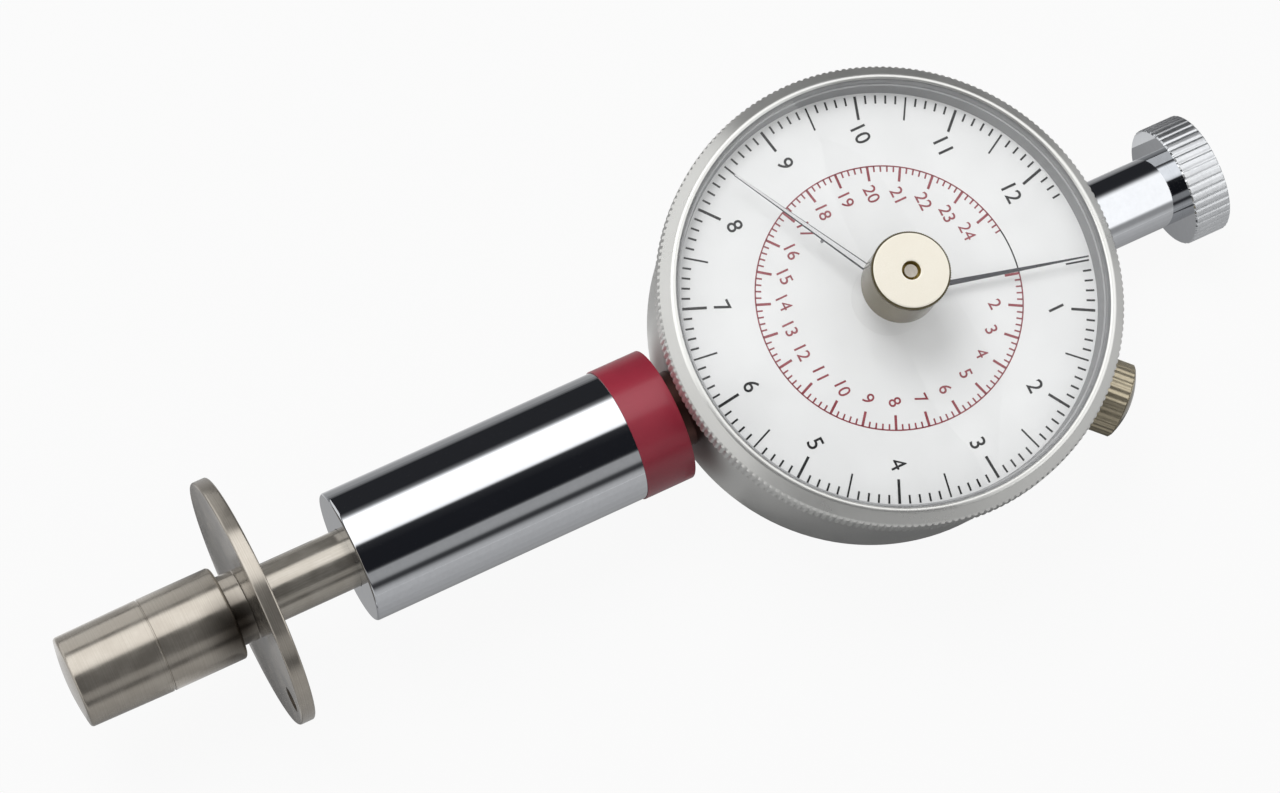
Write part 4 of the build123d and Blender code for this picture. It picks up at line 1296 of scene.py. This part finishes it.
@dataclass
class ResetKnob:
    """The champagne knob at the dial's centre: smooth sides, a fine knurl under its rim, a hole on top."""

    finishes: Finishes
    body_radius: float = 4.47
    body_rounding: float = 0.2
    body_steps: int = 120
    bore: float = 0.76
    hole_radius: float = 1.08
    hole_rounding: float = 0.04
    hole_depth: float = 1.2
    face_radius: float = 4.33
    face_rounding: float = 0.05
    face_segments: int = 3
    face_edge: float = 0.22
    face_margin: float = 0.02
    knurl_bottom: float = 30.15
    knurl_foot: float = 0.1
    knurl_foot_inset: float = 0.13
    knurl_top: float = 30.6
    knurl_chamfer: float = 0.04
    knurl_sunk: float = 0.03
    rim_seat: float = 0.2
    top_slope: float = 0.5
    knurl: Flutes = Flutes(count=105, depth=0.12, shape=(0.0, 0.0, 0.7, 1.0, 0.7))

    def build(self) -> None:
        """Turn the knob and add its knurled band."""
        low, high = span("reset_knob", UP)
        radius = outer_radius("reset_knob")
        body = turned([
            Corner(low, self.bore),
            Corner(low, self.body_radius, self.body_rounding),
            Corner(self.knurl_top - self.rim_seat, self.body_radius),
            Corner(self.knurl_top - self.rim_seat, self.face_radius),
            Corner(high, self.face_radius, self.face_rounding, self.face_segments),
            Corner(high, self.face_radius - self.face_edge),
            Corner(high, self.hole_radius + self.face_edge),
            Corner(high, self.hole_radius, self.hole_rounding, FEW_SEGMENTS),
            Corner(high - self.hole_depth, self.hole_radius),
            Corner(high - self.hole_depth, self.bore),
        ], closed=True, steps=self.body_steps)
        band = fluted_band(radius, self.face_radius - self.knurl_sunk, self.knurl, [
            (self.knurl_bottom, self.knurl_foot_inset),
            (self.knurl_bottom + self.knurl_foot, 0.0),
            (self.knurl_top - self.knurl_chamfer, 0.0),
            (self.knurl_top, self.knurl_chamfer),
        ])
        # The knob's sides take the dark copy of the nickel: painted shade.
        piece = make_piece("reset_knob_turned", joined(body, band), DIAL_AXIS, self.finishes.champagne_dial,
                           "reset", "champagne", "reset_knob")
        refinish(piece, self.finishes.champagne_face,
                 lambda centre, normal: normal.z > self.top_slope and centre.xy.length > self.hole_radius)
        # The knurl is painted dark olive brown: painted shade.
        rim = self.face_radius + self.face_margin
        refinish(piece, self.finishes.champagne_dull,
                 lambda centre, normal: centre.z > self.knurl_bottom and centre.xy.length > rim)
        # The hole is painted bright gold: painted light.
        refinish(piece, self.finishes.champagne_hole,
                 lambda centre, normal: centre.xy.length < self.hole_radius)


@dataclass
class DragPointer:
    """The bright pointer the reset knob turns: a blade with painted shade on its edges, a hub and a thin
    peg.
    """

    finishes: Finishes
    heading: float = 241.6
    root_height: float = 22.6
    tip_height: float = 21.4
    reach: float = 22.5
    root_width: float = 1.1
    tip_width: float = 0.2
    half_thickness: float = 0.1
    edge_share: float = 0.36
    top_slope: float = 0.9
    hub_bore: float = 1.07
    hub_radius: float = 1.9
    hub_lap: float = 0.3
    hub_bottom: float = 22.25
    hub_bottom_rounding: float = 0.05
    hub_top_rounding: float = 0.08
    hub_steps: int = 64
    peg_place: float = 10.0
    peg_radius: float = 0.2
    peg_rounding: float = 0.05
    peg_steps: int = 24

    def level(self, along: float) -> float:
        """Give the blade's height at a distance from the dial's axis."""
        return self.root_height + (self.tip_height - self.root_height) * (along / self.reach)

    def station(self, along: float) -> List[Triple]:
        """Give the blade's outline across it.

        Args:
            along: the distance from the dial's axis.

        Returns:
            The corners in order: the flat top, the right edge, the underside and the left edge.
        """
        half = (self.root_width + (self.tip_width - self.root_width) * (along / self.reach)) / 2.0
        height = self.level(along)
        flat = half * (1.0 - self.edge_share)
        top = height + self.half_thickness
        bottom = height - self.half_thickness
        return [(-flat, along, top), (flat, along, top), (half, along, height), (half, along, bottom),
                (-half, along, bottom), (-half, along, height)]

    def build(self) -> None:
        """Build the hub, the blade and the peg."""
        low, high = span("drag_pointer", UP)
        hub = turned([
            Corner(self.hub_bottom, self.hub_bore),
            Corner(self.hub_bottom, self.hub_radius, self.hub_bottom_rounding),
            Corner(high, self.hub_radius, self.hub_top_rounding),
            Corner(high, self.hub_bore),
        ], closed=True, steps=self.hub_steps)
        blade = bmesh.new()
        root = [blade.verts.new(point) for point in self.station(self.hub_radius - self.hub_lap)]
        tip = [blade.verts.new(point) for point in self.station(self.reach)]
        blade.faces.new(root)
        blade.faces.new(tip)
        bmesh.ops.bridge_loops(blade, edges=[edge for edge in blade.edges if edge.is_boundary])
        bmesh.ops.recalc_face_normals(blade, faces=blade.faces[:])
        peg = turned_pin(low, self.level(self.peg_place), self.peg_radius, self.peg_rounding,
                         self.peg_steps)
        peg.transform(Matrix.Translation((0.0, self.peg_place, 0.0)))
        shape = joined(hub, blade, peg)
        shape.transform(Matrix.Rotation(-math.radians(self.heading), 4, "Z"))
        piece = make_piece("drag_pointer_blade", shape, DIAL_AXIS, self.finishes.pointer_bright, "reset",
                           "pointer_steel", "drag_pointer")
        # The blade's edges are painted dark: painted shade.
        refinish(piece, self.finishes.pointer_dark, lambda centre, normal: normal.z < self.top_slope)


@dataclass
class LockScrew:
    """The small fluted knob with a domed end that holds the bezel where it is set."""

    finishes: Finishes
    shank_radius: float = 1.45
    shank_rounding: float = 0.2
    shank_start: float = 25.2
    shank_sunk: float = 0.5
    shank_steps: int = 40
    knob_radius: float = 4.45
    knob_start: float = 27.1
    knob_chamfer: float = 0.35
    knob_rim: float = 30.23
    knob_rim_under: float = 0.05
    knob_rim_over: float = 0.08
    knob_end: float = 31.33
    dome_edge: float = 4.2
    dome_sunk: float = 0.3
    dome_rings: int = 8
    dome_steps: int = 64
    end_slope: float = 0.4
    flutes: Flutes = Flutes(count=32, depth=0.1, shape=(0.0, 0.15, 0.5, 0.85, 1.0, 0.85, 0.5, 0.15))

    def dome(self) -> bmesh.types.BMesh:
        """Turn the domed end, a part of a ball that starts at the knob's rim.

        Returns:
            A closed mesh in millimetres, which reaches a little way into the knob.
        """
        rise = self.knob_end - self.knob_rim
        ball = (self.knob_radius ** 2 + rise ** 2) / (2.0 * rise)
        foot = self.knob_rim - self.dome_sunk
        corners = [Corner(foot, 0.0), Corner(foot, self.dome_edge)]
        for ring in range(self.dome_rings + 1):
            radius = self.dome_edge * (1.0 - ring / self.dome_rings)
            corners.append(Corner(self.knob_end - ball + math.sqrt(ball ** 2 - radius ** 2), radius))
        return turned(corners, steps=self.dome_steps)

    def build(self) -> None:
        """Build the knob with its shank."""
        head = fluted_solid(self.knob_radius, self.flutes, [
            (self.knob_start, self.knob_chamfer),
            (self.knob_start + self.knob_chamfer, 0.0),
            (self.knob_rim - self.knob_rim_under, 0.0),
            (self.knob_rim + self.knob_rim_over, self.knob_radius - self.dome_edge),
        ])
        shank = turned_pin(self.shank_start, self.knob_start + self.shank_sunk, self.shank_radius,
                           self.shank_rounding, self.shank_steps)
        piece = make_piece("lock_screw_knob", joined(head, self.dome(), shank), LOCK_AXIS,
                           self.finishes.champagne_lock, "lock_screw", "champagne", "lock_screw")
        outwards = Vector(LOCK_AXIS.along).normalized()
        # The domed end takes the dark copy of the nickel: painted shade.
        refinish(piece, self.finishes.champagne_dial,
                 lambda centre, normal: normal.dot(outwards) > self.end_slope)


@dataclass
class CarriedNodes:
    """The CAD nodes whose shapes stay, each with its own finish."""

    finishes: Finishes

    def dress(self) -> None:
        """Give each node that is still shown its finish."""
        kit = self.finishes
        groups = [
            # The case's finish has painted shade by the barrel's neck.
            (kit.satin_case, ("gauge_case", "back_cover", "dial_ring")),
            (kit.stainless_drawn, ("rack_rod",)),
            (kit.stainless_turned, ("spring_collar", "pinion_arbor", "reset_arbor")),
            (kit.screw_steel, ("back_cover_screws", "barrel_grub_screws", "rear_plate_screws",
                               "front_plate_screws", "collar_pin", "guide_pin", "hairspring_stud")),
            (kit.spring_steel, ("hairspring", "bezel_wire")),
            (kit.brass, ("rear_plate", "front_plate", "plate_pillars", "arbor_bushes", "front_bush",
                         "hairspring_collet", "lock_shoe", "crystal_bush")),
            # The active pointer's dark grey is a painted dark reflection.
            (kit.pointer_dark, ("active_pointer",)),
            (kit.dial_paint, ("dial_plate",)),
            (kit.washer_plastic, ("drag_washer",)),
        ]
        for material, names in groups:
            for name in names:
                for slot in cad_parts[name].material_slots:
                    slot.material = material
                log.info("%s: CAD shape in %s", name, material.name)


# The studio

@dataclass(frozen=True)
class Card:
    """A flat card that only shows in reflections: its corners in millimetres and how bright each one is."""

    corners: Tuple[Triple, ...]
    levels: Tuple[float, ...]


@dataclass(frozen=True)
class Shade:
    """A patch of ground in shade: its corners, to the right and along the tool, and how bright each is."""

    outline: Profile
    levels: Tuple[float, ...]


def seen_by_camera(tree: bpy.types.NodeTree) -> bpy.types.NodeSocket:
    """Tell what the camera sees from what only lights the tester.

    Args:
        tree: the node tree.

    Returns:
        A socket that is 1 where the camera looks, straight, in a reflection or through the crystal.
    """
    path = add_node(tree, "ShaderNodeLightPath").outputs
    seen = add_node(tree, "ShaderNodeMath", {"operation": "ADD"},
                    {0: path["Is Camera Ray"], 1: path["Is Glossy Ray"]})
    seen = add_node(tree, "ShaderNodeMath", {"operation": "ADD", "use_clamp": True},
                    {0: seen.outputs[0], 1: path["Is Transmission Ray"]})
    return seen.outputs[0]


@dataclass
class Studio:
    """A pale floor, soft light, reflection cards and the camera."""

    # The floor's size and the places and sizes of camera and lamp are in metres, all else in millimetres.
    floor_size: float = 3.0
    floor_colour: str = "#c4c4c4"
    floor_white: float = 0.93
    disc_touch: Tuple[float, float] = (-79.5, -6.9)
    knob_touch: Tuple[float, float] = (42.0, 0.65)
    camera_place: Triple = (0.059052, -0.123927, 0.422832)
    camera_right: Triple = (0.4372405, 0.8886911, 0.1380174)
    camera_down: Triple = (0.8876808, -0.4018216, -0.2248606)
    camera_ahead: Triple = (-0.1443732, 0.2208335, -0.9645667)
    lens: float = 104.73
    sensor: float = 36.0
    clip_start: float = 0.01
    world_level: float = 0.38
    key_place: Triple = (-0.48, -0.14, 0.8)
    key_size: float = 0.5
    key_power: float = 4.7
    card_reach: float = 700.0
    card_front: float = -1200.0
    card_split: float = 190.0
    card_rear: float = 1500.0
    ground_front: float = -300.0
    ground_rear: float = 150.0
    ground_place: float = -50.0
    cool_tint: Triple = (-0.001, 0.0, 0.004)
    # How bright the room looks from the barrel, by degrees about the tool from straight up, + to the right.
    front_room: Profile = (
        (-66.0, 0.03), (-63.5, 0.08), (-60.5, 0.19), (-58.0, 0.38), (-56.0, 0.85), (-54.0, 1.4),
        (-52.0, 2.0), (-14.0, 2.0), (-7.0, 1.6), (-5.5, 1.3), (-4.0, 0.7), (-2.5, 0.18), (-1.0, 0.05),
        (2.0, 0.033), (12.0, 0.018), (40.0, 0.017), (42.0, 0.027), (44.0, 0.08), (45.5, 0.23),
        (47.5, 0.43), (56.0, 0.45), (61.0, 0.43), (64.0, 0.36), (66.0, 0.22), (68.0, 0.1), (70.0, 0.065),
        (72.0, 0.055), (74.0, 0.075), (76.5, 0.17), (79.0, 0.34), (82.0, 0.49), (85.0, 0.59), (91.0, 0.65),
    )
    # The same behind the dial, as it looks from the stem.
    rear_room: Profile = (
        (-66.0, 0.03), (-62.0, 0.032), (-58.0, 0.045), (-54.0, 0.12), (-50.0, 0.34), (-47.0, 0.62),
        (-43.0, 1.1), (-39.0, 1.45), (-36.0, 1.6), (52.0, 1.6), (55.0, 1.4), (58.0, 0.9), (61.0, 0.55),
        (64.0, 0.42), (68.0, 0.39), (76.0, 0.42), (80.0, 0.5), (84.0, 0.61), (91.0, 0.68),
    )
    # The room low on the left, between two angles: dark from one place along the tool to the rear, and
    # bright from the front to another.
    low_left: Tuple[float, float] = (-140.0, -66.0)
    dark_front: float = -25.0
    dark_level: float = 0.03
    bright_rear: float = -160.0
    bright_level: float = 1.05
    # How bright the ground looks, by millimetres to the right of the tool, under the barrel.
    left_ground: Profile = (
        (2.0, 0.55), (-5.0, 0.8), (-11.6, 1.0), (-14.1, 0.83), (-16.9, 0.58), (-20.4, 0.47), (-31.4, 0.4),
        (-42.0, 0.26), (-52.0, 0.1),
    )
    right_ground: Profile = (
        (2.0, 0.55), (7.9, 0.35), (9.5, 0.3), (11.5, 0.33), (13.8, 0.38), (19.9, 0.44), (30.5, 0.5),
        (57.0, 0.56), (700.0, 0.64),
    )
    # The shade beside the case, before the disc, under the top knob's stem and under the barrel's mouth.
    shades: Tuple[Shade, ...] = (
        Shade(((13.0, -26.0), (50.0, -18.0), (50.0, 28.0), (13.0, 28.0)), (0.12, 0.12, 0.12, 0.12)),
        Shade(((-35.0, -90.0), (35.0, -90.0), (35.0, -80.7), (-35.0, -80.7)), (0.9, 0.9, 0.12, 0.12)),
        Shade(((-7.0, 31.0), (8.0, 31.0), (8.0, 39.6), (-7.0, 39.6)), (0.44, 0.44, 0.36, 0.36)),
        Shade(((-14.0, -78.0), (6.0, -78.0), (6.0, -68.5), (-14.0, -68.5)), (0.42, 0.42, 0.42, 0.42)),
    )
    shade_lift: float = 0.5

    def floor_slope(self) -> float:
        """Give the angle at which the floor rises along the tool, so that disc and knob both touch it."""
        run = self.knob_touch[0] - self.disc_touch[0]
        return math.atan2(self.knob_touch[1] - self.disc_touch[1], run)

    def build_floor(self) -> None:
        """Lay the floor under the disc's rim and the top knob."""
        material, tree, surface = new_material("pale studio floor")
        share = add_node(tree, "ShaderNodeMath", {"operation": "MULTIPLY"},
                         {0: seen_by_camera(tree), 1: self.floor_white})
        matt = add_node(tree, "ShaderNodeBsdfDiffuse", None, {"Color": linear(self.floor_colour)})
        white = add_node(tree, "ShaderNodeEmission", None, {"Color": linear("#ffffff"), "Strength": 1.0})
        mixed = add_node(tree, "ShaderNodeMixShader", None,
                         {0: share.outputs[0], 1: matt.outputs[0], 2: white.outputs[0]})
        tree.links.new(mixed.outputs[0], surface)
        shape = bmesh.new()
        bmesh.ops.create_grid(shape, x_segments=1, y_segments=1, size=self.floor_size / 2.0)
        touch = Vector((0.0, *self.disc_touch)) * MM
        shape.transform(Matrix.Translation(touch) @ Matrix.Rotation(self.floor_slope(), 4, "X"))
        self.stage_piece("floor", shape, material).visible_glossy = False

    def stage_piece(self, name: str, shape: bmesh.types.BMesh,
                    material: bpy.types.Material) -> bpy.types.Object:
        """Make a piece of the studio from its mesh in metres, which is freed.

        Args:
            name: its name.
            shape: its mesh.
            material: its finish.

        Returns:
            The piece.
        """
        mesh = bpy.data.meshes.new(name)
        shape.to_mesh(mesh)
        shape.free()
        mesh.materials.append(material)
        item = bpy.data.objects.new(name, mesh)
        bpy.context.scene.collection.objects.link(item)
        return item

    def far_point(self, angle: float, along: float) -> Triple:
        """Give a point of the room at an angle about the tool and a place along it."""
        turn = math.radians(angle)
        return math.sin(turn) * self.card_reach, along, math.cos(turn) * self.card_reach + TOOL_HEIGHT

    def ground_height(self, along: float) -> float:
        """Give the floor's height at a place along the tool."""
        return self.disc_touch[1] + (along - self.disc_touch[0]) * math.tan(self.floor_slope())

    def ground_point(self, side: float, along: float) -> Triple:
        """Give a point of the floor that looks as far to the side from anywhere along the tool.

        Args:
            side: the place to the right of the tool, as it is under the barrel.
            along: the place along the tool.

        Returns:
            The point in millimetres.
        """
        height = self.ground_height(along)
        share = (TOOL_HEIGHT - height) / (TOOL_HEIGHT - self.ground_height(self.ground_place))
        return side * share, along, height

    def strips(self, profile: Profile, point: Callable[[float, float], Triple], front: float,
               rear: float) -> List[Card]:
        """Give the cards between the neighbours of a profile.

        Args:
            profile: angles or places to the side, and how bright each one is.
            point: gives a corner from an angle or place to the side and a place along the tool.
            front: where the cards start along the tool.
            rear: where they end.

        Returns:
            The cards in the profile's order.
        """
        made = []
        for (start, level), (end, next_level) in zip(profile, profile[1:]):
            corners = (point(start, front), point(start, rear), point(end, rear), point(end, front))
            made.append(Card(corners, (level, level, next_level, next_level)))
        return made

    def cards(self) -> List[Card]:
        """Lay out the room and the ground in strips, and the shade on the ground.

        Returns:
            All the cards.
        """
        made = self.strips(self.front_room, self.far_point, self.card_front, self.card_split)
        made += self.strips(self.rear_room, self.far_point, self.card_split, self.card_rear)
        for ground in (self.left_ground, self.right_ground):
            made += self.strips(ground, self.ground_point, self.ground_front, self.ground_rear)
        for front, rear, level in ((self.dark_front, self.card_rear, self.dark_level),
                                   (self.card_front, self.bright_rear, self.bright_level)):
            panel = tuple((angle, level) for angle in self.low_left)
            made += self.strips(panel, self.far_point, front, rear)
        for shade in self.shades:
            corners = tuple((side, along, self.ground_height(along) + self.shade_lift)
                            for side, along in shade.outline)
            made.append(Card(corners, shade.levels))
        return made

    def build_cards(self) -> None:
        """Stand the reflection cards round the tester."""
        material, tree, surface = new_material("reflection card")
        shade = add_node(tree, "ShaderNodeVertexColor", {"layer_name": "glow"})
        glow = add_node(tree, "ShaderNodeEmission", None, {"Color": shade.outputs[0], "Strength": 1.0})
        tree.links.new(glow.outputs[0], surface)
        shape = bmesh.new()
        glows = shape.verts.layers.float_color.new("glow")
        for card in self.cards():
            points = []
            for corner, level in zip(card.corners, card.levels):
                point = shape.verts.new(Vector(corner) * MM)
                point[glows] = [max(level + tint, 0.0) for tint in self.cool_tint] + [1.0]
                points.append(point)
            shape.faces.new(points)
        item = self.stage_piece("reflection_cards", shape, material)
        item.visible_camera = False
        item.visible_diffuse = False
        item.visible_transmission = False
        item.visible_shadow = False

    def build_light(self) -> None:
        """Light the tester: an even white room and one soft lamp from the upper left."""
        world = bpy.data.worlds.new("white room")
        bpy.context.scene.world = world
        world.use_nodes = True
        tree = world.node_tree
        tree.nodes.clear()
        level = add_node(tree, "ShaderNodeMapRange", None,
                         {"Value": seen_by_camera(tree), "To Min": self.world_level, "To Max": 1.0})
        room = add_node(tree, "ShaderNodeBackground", None,
                        {"Color": linear("#ffffff"), "Strength": level.outputs[0]})
        add_node(tree, "ShaderNodeOutputWorld", None, {"Surface": room.outputs[0]})
        lamp = bpy.data.lights.new("soft_key", "AREA")
        lamp.shape = "SQUARE"
        lamp.size = self.key_size
        lamp.energy = self.key_power
        item = bpy.data.objects.new("soft_key", lamp)
        bpy.context.scene.collection.objects.link(item)
        item.location = self.key_place
        item.rotation_euler = (-Vector(self.key_place)).to_track_quat("-Z", "Y").to_euler()
        item.visible_glossy = False
        item.visible_transmission = False

    def build_camera(self) -> None:
        """Set the camera where the photograph was taken from."""
        data = bpy.data.cameras.new("camera")
        data.lens = self.lens
        data.sensor_width = self.sensor
        data.sensor_fit = "HORIZONTAL"
        data.clip_start = self.clip_start
        item = bpy.data.objects.new("camera", data)
        bpy.context.scene.collection.objects.link(item)
        right = Vector(self.camera_right)
        up = -Vector(self.camera_down)
        back = -Vector(self.camera_ahead)
        turn = Matrix((right, up, back)).transposed().to_4x4()
        item.matrix_world = Matrix.Translation(self.camera_place) @ turn
        bpy.context.scene.camera = item

    def build(self) -> None:
        """Build the whole studio."""
        bpy.context.scene.view_settings.view_transform = "Standard"
        self.build_floor()
        self.build_cards()
        self.build_light()
        self.build_camera()
        log.info("studio: floor, cards, lamp and camera")


def main() -> None:
    """Build the tester's pieces in order, then the studio."""
    logging.basicConfig(level=logging.INFO, format="%(message)s")
    finishes = Finishes()
    Barrel(finishes).build()
    MainSpring(finishes).build()
    Plunger(finishes).build()
    TopKnob(finishes).build()
    Bezel(finishes).build()
    Crystal(finishes).build()
    Dial(finishes).build()
    ResetKnob(finishes).build()
    DragPointer(finishes).build()
    LockScrew(finishes).build()
    CarriedNodes(finishes).dress()
    Studio().build()


if __name__ == "__main__":
    main()
